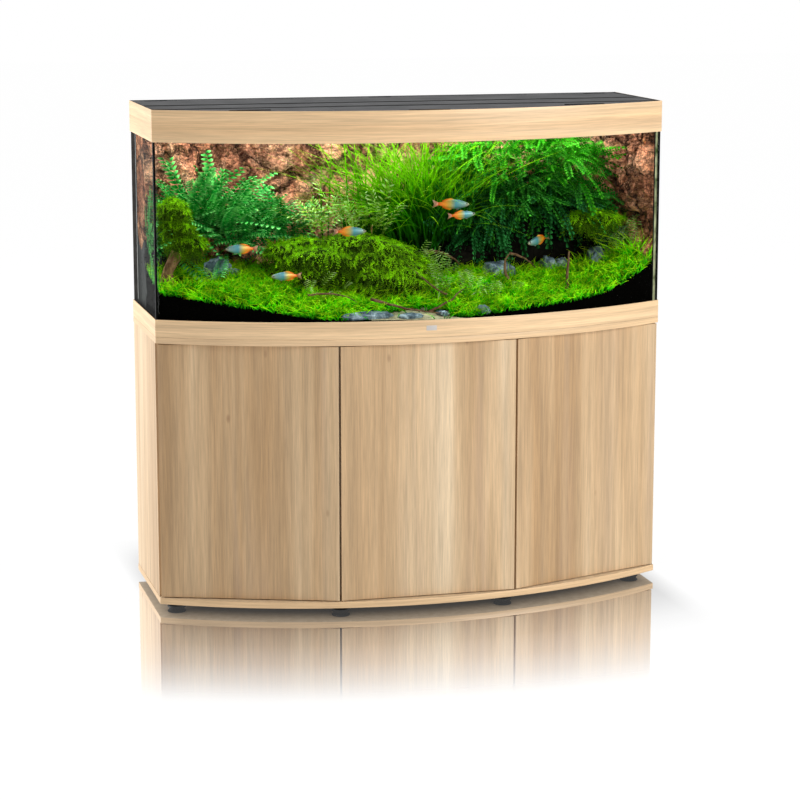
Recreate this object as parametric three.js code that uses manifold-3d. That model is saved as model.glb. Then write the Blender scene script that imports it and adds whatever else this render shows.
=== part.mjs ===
// Bow-front aquarium on a three-door cabinet.
// Millimetres, +Z up, front towards -Y, origin at the bottom centre of the whole object.
import * as THREE from 'three';
import { mergeVertices } from 'three/addons/utils/BufferGeometryUtils.js';
import Module from 'manifold-3d';

const wasm = await Module();
wasm.setup();

// ---------------------------------------------------------------- driving dimensions
const WIDTH = 1510;
const SIDE_DEPTH = 410; // depth at the two ends
const BOW_DEPTH = 200; // how far the curved front swells past the ends
const CABINET_HEIGHT = 800;
const TANK_HEIGHT = 640;
const BOARD = 18; // laminated board of the cabinet
const GAP = 0.3; // joint gap between touching pieces

const FOOT_HEIGHT = 20;
const FOOT_RADIUS = 27;
const FOOT_INSET = 57; // foot centre in from the side and from the back
const BACK_BOARD = 8;

const DOOR_BOARD = 16;
const DOOR_COUNT = 3;
const DOOR_SETBACK = 1.5; // door corners sit this far inside the curved edge
const DOOR_GAP = 6; // between neighbouring doors
const DOOR_END_GAP = 3; // at the outer ends, above and below

const GLASS = 12;
const GLASS_INSET = 3; // glass face in from the frames' outer face
const FRAME_SKIN = 2.7; // wood-look band in front of the glass
const BOTTOM_FRAME_HEIGHT = 50;
const HOOD_HEIGHT = 90;
const LEDGE_WIDTH = 27; // plastic ledge that carries the lids
const LID_THICKNESS = 4;
const LID_RECESS = 2; // lids lie this far below the top of the hood band
const BEAM_FRONT_Y = -84.7;
const BEAM_BACK_Y = 86.7;

const ARC_STEPS = 36;

// ---------------------------------------------------------------- derived places
const HALF_WIDTH = WIDTH / 2;
const FULL_DEPTH = SIDE_DEPTH + BOW_DEPTH;
const BACK_Y = FULL_DEPTH / 2;
const CORNER_Y = BACK_Y - SIDE_DEPTH;
const ARC_RADIUS = (HALF_WIDTH ** 2 + BOW_DEPTH ** 2) / (2 * BOW_DEPTH);
const ARC_CENTRE_Y = ARC_RADIUS - BACK_Y;
const DOOR_ANGLE = (2 * Math.asin(HALF_WIDTH / ARC_RADIUS)) / DOOR_COUNT;

const BASE_TOP_Z = FOOT_HEIGHT + BOARD;
const TOP_PANEL_Z = CABINET_HEIGHT - BOARD;
const UPRIGHT_Z = [BASE_TOP_Z + GAP, TOP_PANEL_Z - GAP];
const SIDE_INNER_X = HALF_WIDTH - 1 - BOARD;
const PARTITION_X = ARC_RADIUS * Math.sin(DOOR_ANGLE / 2);

const TOTAL_HEIGHT = CABINET_HEIGHT + TANK_HEIGHT;
const FRAME_FLOOR = 5.7; // thickness of the bottom frame's ledge
const GLASS_Z = CABINET_HEIGHT + FRAME_FLOOR + GAP;
const HOOD_Z = TOTAL_HEIGHT - HOOD_HEIGHT;
const LID_TOP_Z = TOTAL_HEIGHT - LID_RECESS;
const LID_Z = LID_TOP_Z - LID_THICKNESS;
const LEDGE_Z = [LID_Z - 26, LID_Z - GAP];
const GLASS_TOP_Z = LEDGE_Z[0] - GAP;
const PANE_INNER = GLASS_INSET + GLASS;
const TANK_FLOOR_Z = GLASS_Z + GLASS + GAP;

// ---------------------------------------------------------------- materials
const look = (color, roughness, metalness = 0, opacity = 1) => ({ color, roughness, metalness, opacity });
const LOOKS = {
  oak: look(0xd6b688, 0.45),
  board: look(0xcdb48e, 0.6),
  blackPlastic: look(0x1b1c1e, 0.45),
  greyPlastic: look(0x55595e, 0.5),
  steel: look(0xb9bcc0, 0.3, 0.9),
  glass: look(0xcfe0dc, 0.05, 0, 0.3),
  lightTube: look(0xf2f4f6, 0.25),
  substrate: look(0x1a1713, 0.95),
  rock: look(0x7a4430, 0.9),
  bark: look(0x4f5a24, 0.95),
  foam: look(0x2a3038, 0.95),
};

const part = new THREE.Group();

function addPiece(name, geometry, lookName, parent = part) {
  const { color, roughness, metalness, opacity } = LOOKS[lookName];
  const material = new THREE.MeshStandardMaterial({ color, roughness, metalness, opacity });
  material.transparent = opacity < 1;
  const mesh = new THREE.Mesh(geometry, material);
  mesh.name = name;
  parent.add(mesh);
  return mesh;
}

// ---------------------------------------------------------------- shape helpers
const box = ([x0, x1], [y0, y1], [z0, z1]) =>
  new THREE.BoxGeometry(x1 - x0, y1 - y0, z1 - z0).translate((x0 + x1) / 2, (y0 + y1) / 2, (z0 + z1) / 2);

const toShape = (points) => new THREE.Shape(points.map(([x, y]) => new THREE.Vector2(x, y)));

function prism(points, [z0, z1], holes = []) {
  const shape = toShape(points);
  shape.holes = holes.map(toShape);
  return new THREE.ExtrudeGeometry(shape, { depth: z1 - z0, bevelEnabled: false }).translate(0, 0, z0);
}

// Section given as (y, z) points, drawn out along X.
function beamAlongX(section, [x0, x1]) {
  const yzxToXyz = new THREE.Matrix4().set(0, 0, 1, 0, 1, 0, 0, 0, 0, 1, 0, 0, 0, 0, 0, 1);
  return prism(section, [x0, x1]).applyMatrix4(yzxToXyz);
}

const cylinder = (radius, length, sides = 24) => new THREE.CylinderGeometry(radius, radius, length, sides);

function toSolid(geometry) {
  const bare = geometry.clone();
  bare.deleteAttribute('normal');
  bare.deleteAttribute('uv');
  const merged = mergeVertices(bare, 1e-4);
  return new wasm.Manifold(
    new wasm.Mesh({
      numProp: 3,
      vertProperties: new Float32Array(merged.attributes.position.array),
      triVerts: new Uint32Array(merged.index.array),
    }),
  );
}

function fromSolid(solid) {
  const { vertProperties, triVerts } = solid.getMesh();
  const geometry = new THREE.BufferGeometry();
  geometry.setAttribute('position', new THREE.BufferAttribute(vertProperties, 3));
  geometry.setIndex(new THREE.BufferAttribute(triVerts, 1));
  geometry.computeVertexNormals();
  return geometry;
}

const cut = (geometry, ...tools) =>
  fromSolid(tools.reduce((solid, tool) => solid.subtract(toSolid(tool)), toSolid(geometry)));

const join = (geometry, ...others) =>
  fromSolid(others.reduce((solid, other) => solid.add(toSolid(other)), toSolid(geometry)));

// y of the curved front at x, for an outline drawn in by inset.
const frontY = (x, inset = 0) => ARC_CENTRE_Y - Math.sqrt((ARC_RADIUS - inset) ** 2 - x ** 2);

// Points along the curved front from x0 to x1, at equal angles.
function frontArc(inset, x0, x1, steps = ARC_STEPS) {
  const radius = ARC_RADIUS - inset;
  const [a0, a1] = [Math.asin(x0 / radius), Math.asin(x1 / radius)];
  return Array.from({ length: steps + 1 }, (_, i) => {
    const angle = a0 + ((a1 - a0) * i) / steps;
    return [radius * Math.sin(angle), ARC_CENTRE_Y - radius * Math.cos(angle)];
  });
}

// The plan outline of the object, drawn in by inset all round.
function bowOutline(inset) {
  const half = HALF_WIDTH - inset;
  return [...frontArc(inset, -half, half), [half, BACK_Y - inset], [-half, BACK_Y - inset]];
}

const bowPanel = (inset, heights) => prism(bowOutline(inset), heights);
const bowRing = (outer, inner, heights) => prism(bowOutline(outer), heights, [bowOutline(inner)]);

// ---------------------------------------------------------------- cabinet carcass
function addFeet() {
  const rearY = BACK_Y - FOOT_INSET;
  const places = {
    foot_front_left: [-HALF_WIDTH + FOOT_INSET, CORNER_Y + FOOT_INSET],
    foot_front_mid_left: [-245, CORNER_Y - 104],
    foot_front_mid_right: [245, CORNER_Y - 104],
    foot_front_right: [HALF_WIDTH - FOOT_INSET, CORNER_Y + FOOT_INSET],
    foot_rear_left: [-HALF_WIDTH + FOOT_INSET, rearY],
    foot_rear_mid_left: [-245, rearY],
    foot_rear_mid_right: [245, rearY],
    foot_rear_right: [HALF_WIDTH - FOOT_INSET, rearY],
  };
  for (const [name, [x, y]] of Object.entries(places)) {
    const height = FOOT_HEIGHT - GAP;
    const foot = addPiece(name, cylinder(FOOT_RADIUS, height).rotateX(Math.PI / 2), 'blackPlastic');
    foot.position.set(x, y, height / 2);
  }
}

const UPRIGHT_FRONT = { side: -86, partition: -258 };
const UPRIGHT_BACK_Y = BACK_Y - 1;
const BACK_BOARD_Y = [UPRIGHT_BACK_Y - BACK_BOARD, UPRIGHT_BACK_Y];
const CUTOUT = { width: 140, z: [690, 755], centres: [-500, 0, 500] };
const SHELF = { z: [400, 416], y: [-60, BACK_BOARD_Y[0] - GAP] };

function addCarcass() {
  addPiece('base_panel', bowPanel(0, [FOOT_HEIGHT, BASE_TOP_Z]), 'oak');
  addPiece('top_panel', bowPanel(0, [TOP_PANEL_Z, CABINET_HEIGHT - GAP]), 'oak');

  const bayInner = PARTITION_X + BOARD / 2 + GAP;
  for (const [side, sign] of [['left', -1], ['right', 1]]) {
    const upright = (x0, x1, y) => box([x0, x1].map((x) => sign * x).sort((a, b) => a - b), y, UPRIGHT_Z);
    const sideY = [UPRIGHT_FRONT.side, UPRIGHT_BACK_Y];
    addPiece(`side_panel_${side}`, upright(SIDE_INNER_X, SIDE_INNER_X + BOARD, sideY), 'oak');
    const partitionY = [UPRIGHT_FRONT.partition, BACK_BOARD_Y[0] - GAP];
    const partition = upright(PARTITION_X - BOARD / 2, PARTITION_X + BOARD / 2, partitionY);
    addPiece(`partition_${side}`, partition, 'board');
    const shelfX = [sign * bayInner, sign * (SIDE_INNER_X - GAP)].sort((a, b) => a - b);
    addPiece(`shelf_${side}`, box(shelfX, SHELF.y, SHELF.z), 'board');
  }

  const backX = SIDE_INNER_X - GAP;
  const holes = CUTOUT.centres.map((x) =>
    box([x - CUTOUT.width / 2, x + CUTOUT.width / 2], [BACK_Y - 20, BACK_Y + 5], CUTOUT.z),
  );
  addPiece('back_panel', cut(box([-backX, backX], BACK_BOARD_Y, UPRIGHT_Z), ...holes), 'board');
}

// ---------------------------------------------------------------- doors, hinges and latches
// Each flat door spans one third of the arc. In a door's own frame x runs along its
// front face from its left arc corner, y runs inwards and z runs up.
const CHORD = 2 * (ARC_RADIUS - DOOR_SETBACK) * Math.sin(DOOR_ANGLE / 2);
const DOOR_Z = [BASE_TOP_Z + DOOR_END_GAP, TOP_PANEL_Z - DOOR_END_GAP];
const HINGE_Z = [DOOR_Z[0] + 100, DOOR_Z[1] - 100];
const CUP = { inset: 42, radius: 17.3, wall: 1.8, depth: 11.3, flangeRadius: 21, flange: 1.5 };
const LATCH = { fromEnd: 80, width: 18, height: 18, length: 66, bore: 4.3, boreDepth: 58 };
const PLUNGER = { radius: 4, length: 52, standOff: 0.4 };

const DOORS = [
  {
    name: 'left',
    index: -1,
    hingeSide: 'left',
    uprightFace: -SIDE_INNER_X,
    bay: 1,
    plateY: UPRIGHT_FRONT.side + 10,
  },
  {
    name: 'middle',
    index: 0,
    hingeSide: 'left',
    uprightFace: -PARTITION_X + BOARD / 2,
    bay: 1,
    plateY: UPRIGHT_FRONT.partition + 10,
  },
  {
    name: 'right',
    index: 1,
    hingeSide: 'right',
    uprightFace: SIDE_INNER_X,
    bay: -1,
    plateY: UPRIGHT_FRONT.side + 10,
  },
];

function doorFrame(door) {
  const angle = door.index * DOOR_ANGLE;
  const cornerAngle = angle - DOOR_ANGLE / 2;
  const radius = ARC_RADIUS - DOOR_SETBACK;
  const frame = new THREE.Group();
  frame.position.set(radius * Math.sin(cornerAngle), ARC_CENTRE_Y - radius * Math.cos(cornerAngle), 0);
  frame.rotation.z = angle;
  frame.updateMatrixWorld();
  return frame;
}

// The joints between doors are mitred, the outer ends are square.
function doorOutline(door) {
  const mitre = DOOR_BOARD * Math.tan(DOOR_ANGLE / 2);
  const outerSide = { left: -1, right: 1 };
  const end = (side) =>
    door.index === outerSide[side]
      ? [DOOR_END_GAP, DOOR_END_GAP]
      : [DOOR_GAP / 2, DOOR_GAP / 2 + mitre];
  const [leftFront, leftBack] = end('left');
  const [rightFront, rightBack] = end('right');
  return [
    [leftFront, 0],
    [CHORD - rightFront, 0],
    [CHORD - rightBack, DOOR_BOARD],
    [leftBack, DOOR_BOARD],
  ];
}

// Distance from the hinged end, turned into the door's own x.
const fromHinge = (door, distance) => (door.hingeSide === 'left' ? distance : CHORD - distance);

function addDoor(door) {
  const frame = doorFrame(door);
  part.add(frame);
  const cupX = fromHinge(door, CUP.inset);
  const boreFloor = DOOR_BOARD - CUP.depth - GAP;
  const boreLength = CUP.depth + GAP + 5;
  const bores = HINGE_Z.map((z) =>
    cylinder(CUP.radius + GAP, boreLength).translate(cupX, boreFloor + boreLength / 2, z),
  );
  addPiece(`door_${door.name}`, cut(prism(doorOutline(door), DOOR_Z), ...bores), 'oak', frame);

  const rim = CUP.radius - CUP.wall;
  const cupProfile = [
    [0, -CUP.depth],
    [CUP.radius, -CUP.depth],
    [CUP.radius, GAP],
    [CUP.flangeRadius, GAP],
    [CUP.flangeRadius, GAP + CUP.flange],
    [rim, GAP + CUP.flange],
    [rim, CUP.wall - CUP.depth],
    [0, CUP.wall - CUP.depth],
  ].map(([r, h]) => new THREE.Vector2(r, h));
  const ends = ['lower', 'upper'];
  HINGE_Z.forEach((z, i) => {
    const cupShape = new THREE.LatheGeometry(cupProfile, 20);
    const cup = addPiece(`hinge_cup_${door.name}_${ends[i]}`, cupShape, 'steel', frame);
    cup.position.set(cupX, DOOR_BOARD, z);
    addPiece(`hinge_arm_${door.name}_${ends[i]}`, hingeArm(door, frame, z), 'steel');
  });
  addLatch(door, frame);
}

// The arm is screwed to the upright by its plate and reaches to the mouth of the cup.
function hingeArm(door, frame, z) {
  const plate = { thickness: 4, length: 50, height: 36 };
  const arm = { halfHeight: 8, clearance: 3, thickness: 10, mouthHalf: 8 };
  const xFromFace = (distance) => door.uprightFace + door.bay * distance;
  const inDoor = (distance, depth) => {
    const point = new THREE.Vector3(fromHinge(door, distance), depth, 0).applyMatrix4(frame.matrixWorld);
    return [point.x, point.y];
  };
  const mouthDepth = DOOR_BOARD + arm.clearance;
  const outline = [
    [xFromFace(GAP + 1), door.plateY + 6],
    inDoor(CUP.inset - arm.mouthHalf, mouthDepth),
    inDoor(CUP.inset + arm.mouthHalf, mouthDepth),
    inDoor(CUP.inset + arm.mouthHalf, mouthDepth + arm.thickness),
    [xFromFace(GAP + 1), door.plateY + plate.length - 8],
  ];
  const plateX = [xFromFace(GAP), xFromFace(GAP + plate.thickness)].sort((a, b) => a - b);
  const plateY = [door.plateY, door.plateY + plate.length];
  return join(
    box(plateX, plateY, [z - plate.height / 2, z + plate.height / 2]),
    prism(outline, [z - arm.halfHeight, z + arm.halfHeight]),
  );
}

// Push latch under the top panel: the spring plunger behind the door's free end.
function addLatch(door, frame) {
  const x = fromHinge(door, CHORD - LATCH.fromEnd);
  const z = TOP_PANEL_Z - GAP - LATCH.height / 2;
  const bodyStart = DOOR_BOARD + 4;
  const body = box(
    [x - LATCH.width / 2, x + LATCH.width / 2],
    [bodyStart, bodyStart + LATCH.length],
    [z - LATCH.height / 2, z + LATCH.height / 2],
  );
  const boreY = bodyStart + (LATCH.boreDepth - 5) / 2;
  const bore = cylinder(LATCH.bore, LATCH.boreDepth + 5, 16).translate(x, boreY, z);
  addPiece(`latch_body_${door.name}`, cut(body, bore), 'greyPlastic', frame);
  const rod = cylinder(PLUNGER.radius, PLUNGER.length, 16);
  const plunger = addPiece(`latch_plunger_${door.name}`, rod, 'greyPlastic', frame);
  plunger.position.set(x, DOOR_BOARD + PLUNGER.standOff + PLUNGER.length / 2, z);
}

// ---------------------------------------------------------------- tank
function addTank() {
  const bottomZ = CABINET_HEIGHT;
  const skin = bowRing(0, FRAME_SKIN, [bottomZ, bottomZ + BOTTOM_FRAME_HEIGHT]);
  const ledge = bowRing(FRAME_SKIN / 2, GLASS_INSET + LEDGE_WIDTH, [bottomZ, bottomZ + FRAME_FLOOR]);
  addPiece('bottom_frame', join(skin, ledge), 'oak');

  addPiece('bottom_glass', bowPanel(PANE_INNER + GAP, [GLASS_Z, GLASS_Z + GLASS]), 'glass');
  const paneX = HALF_WIDTH - GLASS_INSET;
  const paneZ = [GLASS_Z, GLASS_TOP_Z];
  const outer = frontArc(GLASS_INSET, -paneX, paneX);
  const inner = frontArc(PANE_INNER, -paneX, paneX).reverse();
  addPiece('front_glass', prism([...outer, ...inner], paneZ), 'glass');
  const sideFrontY = frontY(paneX, PANE_INNER) + 2 * GAP;
  const paneBackY = BACK_Y - GLASS_INSET;
  addPiece('side_glass_left', box([-paneX, -paneX + GLASS], [sideFrontY, paneBackY], paneZ), 'glass');
  addPiece('side_glass_right', box([paneX - GLASS, paneX], [sideFrontY, paneBackY], paneZ), 'glass');
  const backX = paneX - GLASS - GAP;
  addPiece('back_glass', box([-backX, backX], [paneBackY - GLASS, paneBackY], paneZ), 'glass');
}

// ---------------------------------------------------------------- hood and lids
const RIM_INSET = 8; // inner face of the raised rim round the lids
const LID_INSET = RIM_INSET + 1.5;
const LID_SPAN = HALF_WIDTH - LID_INSET;

function addHood() {
  addPiece('hood_band', bowRing(0, FRAME_SKIN, [HOOD_Z, TOTAL_HEIGHT]), 'oak');
  const ledge = bowRing(GLASS_INSET, GLASS_INSET + LEDGE_WIDTH, LEDGE_Z);
  const rim = bowRing(GLASS_INSET, RIM_INSET, [LEDGE_Z[0] + 5, TOTAL_HEIGHT - 4]);
  addPiece('top_frame', join(ledge, rim), 'blackPlastic');
}

// The light unit bridges the tank from side to side: a cover plate over a channel, open
// below, that holds the two light tubes.
const TUBE = { radius: 13, capRadius: 15, capLength: 40, length: 1380, z: LID_Z - 19 };

function addLightUnit() {
  const channel = { y: [BEAM_FRONT_Y + 5, BEAM_BACK_Y - 5], bottom: LID_Z - 38, wall: 3 };
  const [y0, y1] = channel.y;
  const section = [
    [y0, channel.bottom],
    [y0 + channel.wall, channel.bottom],
    [y0 + channel.wall, LID_Z - channel.wall],
    [y1 - channel.wall, LID_Z - channel.wall],
    [y1 - channel.wall, channel.bottom],
    [y1, channel.bottom],
    [y1, LID_Z + 1],
    [y0, LID_Z + 1],
  ];
  const channelX = HALF_WIDTH - GLASS_INSET - LEDGE_WIDTH - 7;
  const plate = box([-LID_SPAN, LID_SPAN], [BEAM_FRONT_Y, BEAM_BACK_Y], [LID_Z, LID_TOP_Z]);
  addPiece('light_unit', join(plate, beamAlongX(section, [-channelX, channelX])), 'blackPlastic');

  const half = TUBE.length / 2;
  const profile = [
    [0, -half],
    [TUBE.capRadius, -half],
    [TUBE.capRadius, -half + TUBE.capLength],
    [TUBE.radius, -half + TUBE.capLength],
    [TUBE.radius, half - TUBE.capLength],
    [TUBE.capRadius, half - TUBE.capLength],
    [TUBE.capRadius, half],
    [0, half],
  ].map(([r, h]) => new THREE.Vector2(r, h));
  for (const [name, y] of [['front', BEAM_FRONT_Y + 45], ['rear', BEAM_BACK_Y - 45]]) {
    const tube = new THREE.LatheGeometry(profile, 16).rotateZ(-Math.PI / 2);
    addPiece(`light_tube_${name}`, tube, 'lightTube').position.set(0, y, TUBE.z);
  }
}

// Three front flaps hang on the light unit's front edge, one long cover on its rear edge.
function addLids() {
  const lidZ = [LID_Z, LID_TOP_Z];
  const split = LID_SPAN / 3;
  const rearEdge = BEAM_FRONT_Y - GAP;
  const grip = { halfWidth: 59, depth: 12, height: 2, setback: 10 };
  for (const [name, index] of [['left', -1], ['middle', 0], ['right', 1]]) {
    const centre = index * 2 * split;
    const x0 = centre - split + (index === -1 ? 0 : 0.5);
    const x1 = centre + split - (index === 1 ? 0 : 0.5);
    const front = frontArc(LID_INSET, x0, x1, 12);
    const gripX = index * 490;
    const gripY = frontY(Math.abs(gripX) + grip.halfWidth, LID_INSET) + grip.setback;
    const gripBar = box(
      [gripX - grip.halfWidth, gripX + grip.halfWidth],
      [gripY, gripY + grip.depth],
      [LID_TOP_Z - 1, LID_TOP_Z + grip.height],
    );
    const flap = prism([...front, [x1, rearEdge], [x0, rearEdge]], lidZ);
    addPiece(`flap_front_${name}`, join(flap, gripBar), 'blackPlastic');
  }

  const coverY = [BEAM_BACK_Y + GAP, BACK_Y - LID_INSET];
  const notch = { width: 66, depth: 16, centres: [-680, 0, 680] };
  const notchY = [coverY[1] - notch.depth, coverY[1] + 5];
  const notches = notch.centres.map((x) =>
    box([x - notch.width / 2, x + notch.width / 2], notchY, [LID_Z - 5, LID_TOP_Z + 5]),
  );
  addPiece('rear_cover', cut(box([-LID_SPAN, LID_SPAN], coverY, lidZ), ...notches), 'blackPlastic');
}

// ---------------------------------------------------------------- filter chamber
const FILTER = { x: [-734, -604], y: [192, 289], z: [TANK_FLOOR_Z, 1395], wall: 4 };

function addFilter() {
  const { x, y, z, wall } = FILTER;
  const shell = box(x, y, z);
  const cavity = box([x[0] + wall, x[1] - wall], [y[0] + wall, y[1] - wall], [z[0] + wall, z[1] + 10]);
  const midX = (x[0] + x[1]) / 2;
  const slots = [960, 990, 1020, 1050].map((slotZ) =>
    box([midX - 45, midX + 45], [y[0] - 5, y[0] + wall + 5], [slotZ, slotZ + 10]),
  );
  const outletZ = 1372;
  const outlet = cylinder(11, 30, 16).translate(midX - 25, y[0], outletZ);
  addPiece('filter_box', cut(shell, cavity, outlet, ...slots), 'blackPlastic');

  const inner = { x: [x[0] + wall + 1, x[1] - wall - 1], y: [y[0] + wall + 1, y[1] - wall - 1] };
  addPiece('filter_foam', box(inner.x, inner.y, [z[0] + wall + GAP, 1080]), 'foam');

  const pumpX = midX - 25;
  const pumpBody = box([pumpX - 30, pumpX + 30], [y[0] + 20, y[0] + 80], [1180, 1290]);
  const pumpHead = box([pumpX - 16, pumpX + 16], [y[0] + 26, y[0] + 58], [1285, outletZ + 14]);
  const nozzle = cylinder(9, 85, 16).translate(pumpX, y[0] - 7, outletZ);
  addPiece('filter_pump', join(pumpBody, pumpHead, nozzle), 'blackPlastic');

  const heaterProfile = [[0, 0], [12, 0], [12, 190], [15, 190], [15, 235], [0, 235]];
  const heater = new THREE.LatheGeometry(heaterProfile.map(([r, h]) => new THREE.Vector2(r, h)), 16);
  addPiece('heater', heater.rotateX(Math.PI / 2), 'glass').position.set(x[1] - wall - 20, y[0] + 50, 1085);
}

// ---------------------------------------------------------------- aquascape
// Closed slab over a grid: corner(u, v) places it in plan, low and high give its two heights.
function gridSlab(columns, rows, corner, low, high) {
  const positions = [];
  const indices = [];
  const at = (i, j, layer) => layer * (columns + 1) * (rows + 1) + j * (columns + 1) + i;
  for (const height of [low, high]) {
    for (let j = 0; j <= rows; j += 1) {
      for (let i = 0; i <= columns; i += 1) {
        const [x, y] = corner(i / columns, j / rows);
        positions.push(x, y, height(x, y));
      }
    }
  }
  const quad = (a, b, c, d) => indices.push(a, b, c, a, c, d);
  for (let j = 0; j < rows; j += 1) {
    for (let i = 0; i < columns; i += 1) {
      quad(at(i, j, 1), at(i + 1, j, 1), at(i + 1, j + 1, 1), at(i, j + 1, 1));
      quad(at(i, j, 0), at(i, j + 1, 0), at(i + 1, j + 1, 0), at(i + 1, j, 0));
    }
  }
  for (let i = 0; i < columns; i += 1) {
    quad(at(i, 0, 0), at(i + 1, 0, 0), at(i + 1, 0, 1), at(i, 0, 1));
    quad(at(i + 1, rows, 0), at(i, rows, 0), at(i, rows, 1), at(i + 1, rows, 1));
  }
  for (let j = 0; j < rows; j += 1) {
    quad(at(columns, j, 0), at(columns, j + 1, 0), at(columns, j + 1, 1), at(columns, j, 1));
    quad(at(0, j + 1, 0), at(0, j, 0), at(0, j, 1), at(0, j + 1, 1));
  }
  const geometry = new THREE.BufferGeometry();
  geometry.setAttribute('position', new THREE.Float32BufferAttribute(positions, 3));
  geometry.setIndex(indices);
  return geometry;
}

const ROCK_FRONT_Y = 238;
const SUBSTRATE_INSET = PANE_INNER + 0.6;
const LOG = { centre: [-180, -40, 975], radii: [225, 80, 84] };

// The ground is lowest at the front centre and rises to the middle, the back and the two
// ends, most of all at the right end.
function groundHeight(x, y) {
  const { smoothstep } = THREE.MathUtils;
  const inwards = 62 * smoothstep(y, -290, 0) + 15 * smoothstep(y, -50, ROCK_FRONT_Y);
  const leftEnd = 22 * smoothstep(-x, 250, 480);
  const rightEnd = 10 * smoothstep(x, 50, 250) + 62 * Math.max(0, (x - 450) / 300) ** 2;
  const ripple = 4 * Math.sin(x / 90) * Math.cos(y / 70);
  return TANK_FLOOR_Z + 30 + inwards + leftEnd + rightEnd + ripple;
}

function groundSlab(lift) {
  const half = HALF_WIDTH - SUBSTRATE_INSET;
  const corner = (u, v) => {
    const x = THREE.MathUtils.lerp(-half, half, u);
    const front = frontY(x, SUBSTRATE_INSET);
    return [x, THREE.MathUtils.lerp(front, ROCK_FRONT_Y - 2, v)];
  };
  return gridSlab(22, 7, corner, () => TANK_FLOOR_Z + lift, (x, y) => groundHeight(x, y) + lift);
}

function addAquascape() {
  const filterX = [FILTER.x[0] - 20, FILTER.x[1] + 1];
  const filterSpace = box(filterX, [FILTER.y[0] - 1, BACK_Y], [TANK_FLOOR_Z - 5, TOTAL_HEIGHT]);
  addPiece('substrate', cut(groundSlab(0), filterSpace), 'substrate');

  // The background stands upright: the slab is built lying down and turned up.
  const rockX = [FILTER.x[1] + 2, HALF_WIDTH - SUBSTRATE_INSET];
  const rockZ = [TANK_FLOOR_Z, GLASS_TOP_Z - 15];
  const rockBack = BACK_Y - PANE_INNER - 2 * GAP;
  const rockCorner = (u, v) => [THREE.MathUtils.lerp(...rockX, u), THREE.MathUtils.lerp(...rockZ, v)];
  const folds = (x, z) => 9 * Math.sin(x / 61 + 2 * Math.sin(z / 83)) + 7 * Math.sin(z / 47 + x / 130);
  const ridge = (x, z) => 15 + folds(x, z) + 5 * Math.sin(x / 23 - z / 31);
  const slab = gridSlab(24, 9, rockCorner, () => 0, (x, z) => ridge(x, z) + 12);
  addPiece('rock_background', slab.rotateX(Math.PI / 2).translate(0, rockBack, 0), 'rock');

  const log = new THREE.IcosahedronGeometry(1, 3);
  log.deleteAttribute('normal');
  log.deleteAttribute('uv');
  const logMesh = mergeVertices(log, 1e-4);
  const place = logMesh.attributes.position;
  for (let i = 0; i < place.count; i += 1) {
    const [x, y, z] = [place.getX(i), place.getY(i), place.getZ(i)];
    const knot = 1 + 0.12 * Math.sin(5 * x + 2) * Math.cos(4 * y) + 0.08 * Math.sin(7 * z + 3 * x);
    place.setXYZ(i, LOG.radii[0] * x * knot, LOG.radii[1] * y * knot, LOG.radii[2] * z * knot);
  }
  logMesh.translate(...LOG.centre);
  addPiece('driftwood', cut(logMesh, groundSlab(0.5)), 'bark');
}

addFeet();
addCarcass();
DOORS.forEach(addDoor);
addTank();
addHood();
addLightUnit();
addLids();
addFilter();
addAquascape();

export default part;
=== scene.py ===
"""Looks of a bow-front aquarium on its three-door cabinet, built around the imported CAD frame."""
import math

import bmesh
import bpy
import numpy as np
from mathutils import Matrix, Vector, noise


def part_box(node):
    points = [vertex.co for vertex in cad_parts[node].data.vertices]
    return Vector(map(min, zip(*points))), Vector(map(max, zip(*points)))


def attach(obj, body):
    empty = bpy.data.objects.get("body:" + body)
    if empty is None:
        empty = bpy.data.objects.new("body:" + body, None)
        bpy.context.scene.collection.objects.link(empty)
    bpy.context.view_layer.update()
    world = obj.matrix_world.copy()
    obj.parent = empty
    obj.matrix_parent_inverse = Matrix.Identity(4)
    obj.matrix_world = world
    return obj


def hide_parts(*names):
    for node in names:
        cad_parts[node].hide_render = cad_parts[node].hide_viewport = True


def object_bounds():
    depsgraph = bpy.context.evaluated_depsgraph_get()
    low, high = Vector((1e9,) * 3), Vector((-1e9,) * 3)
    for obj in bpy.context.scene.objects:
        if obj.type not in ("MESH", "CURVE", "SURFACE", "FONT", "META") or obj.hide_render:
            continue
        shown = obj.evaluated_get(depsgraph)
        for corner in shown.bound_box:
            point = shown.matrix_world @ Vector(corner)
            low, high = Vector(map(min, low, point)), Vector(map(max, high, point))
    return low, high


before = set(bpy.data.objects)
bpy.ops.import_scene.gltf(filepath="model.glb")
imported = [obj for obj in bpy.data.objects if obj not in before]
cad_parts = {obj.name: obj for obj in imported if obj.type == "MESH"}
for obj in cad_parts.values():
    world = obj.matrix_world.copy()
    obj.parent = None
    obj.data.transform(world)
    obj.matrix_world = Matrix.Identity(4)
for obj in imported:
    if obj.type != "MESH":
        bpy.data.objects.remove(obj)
cad_low, cad_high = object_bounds()
ROOT = "tank_and_cabinet"
MM = 0.001

# ------------------------------------------------------------------ sizes shared by several pieces
SIDE_DEPTH = 0.410
HALF_WIDTH = cad_high.x
BACK_Y = cad_high.y
BOW_DEPTH = cad_high.y - cad_low.y - SIDE_DEPTH
ARC_RADIUS = (HALF_WIDTH**2 + BOW_DEPTH**2) / (2 * BOW_DEPTH)
ARC_CENTRE_Y = cad_low.y + ARC_RADIUS
ARC_STEPS = 96
GLASS_INSET = 3 * MM
GLASS = 12 * MM
PANE_INNER = GLASS_INSET + GLASS
CLEAR_INSET = PANE_INNER + 0.6 * MM


def z_range(node):
    low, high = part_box(node)
    return low.z, high.z


def centre_of(node):
    low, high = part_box(node)
    return (low + high) / 2


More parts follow.
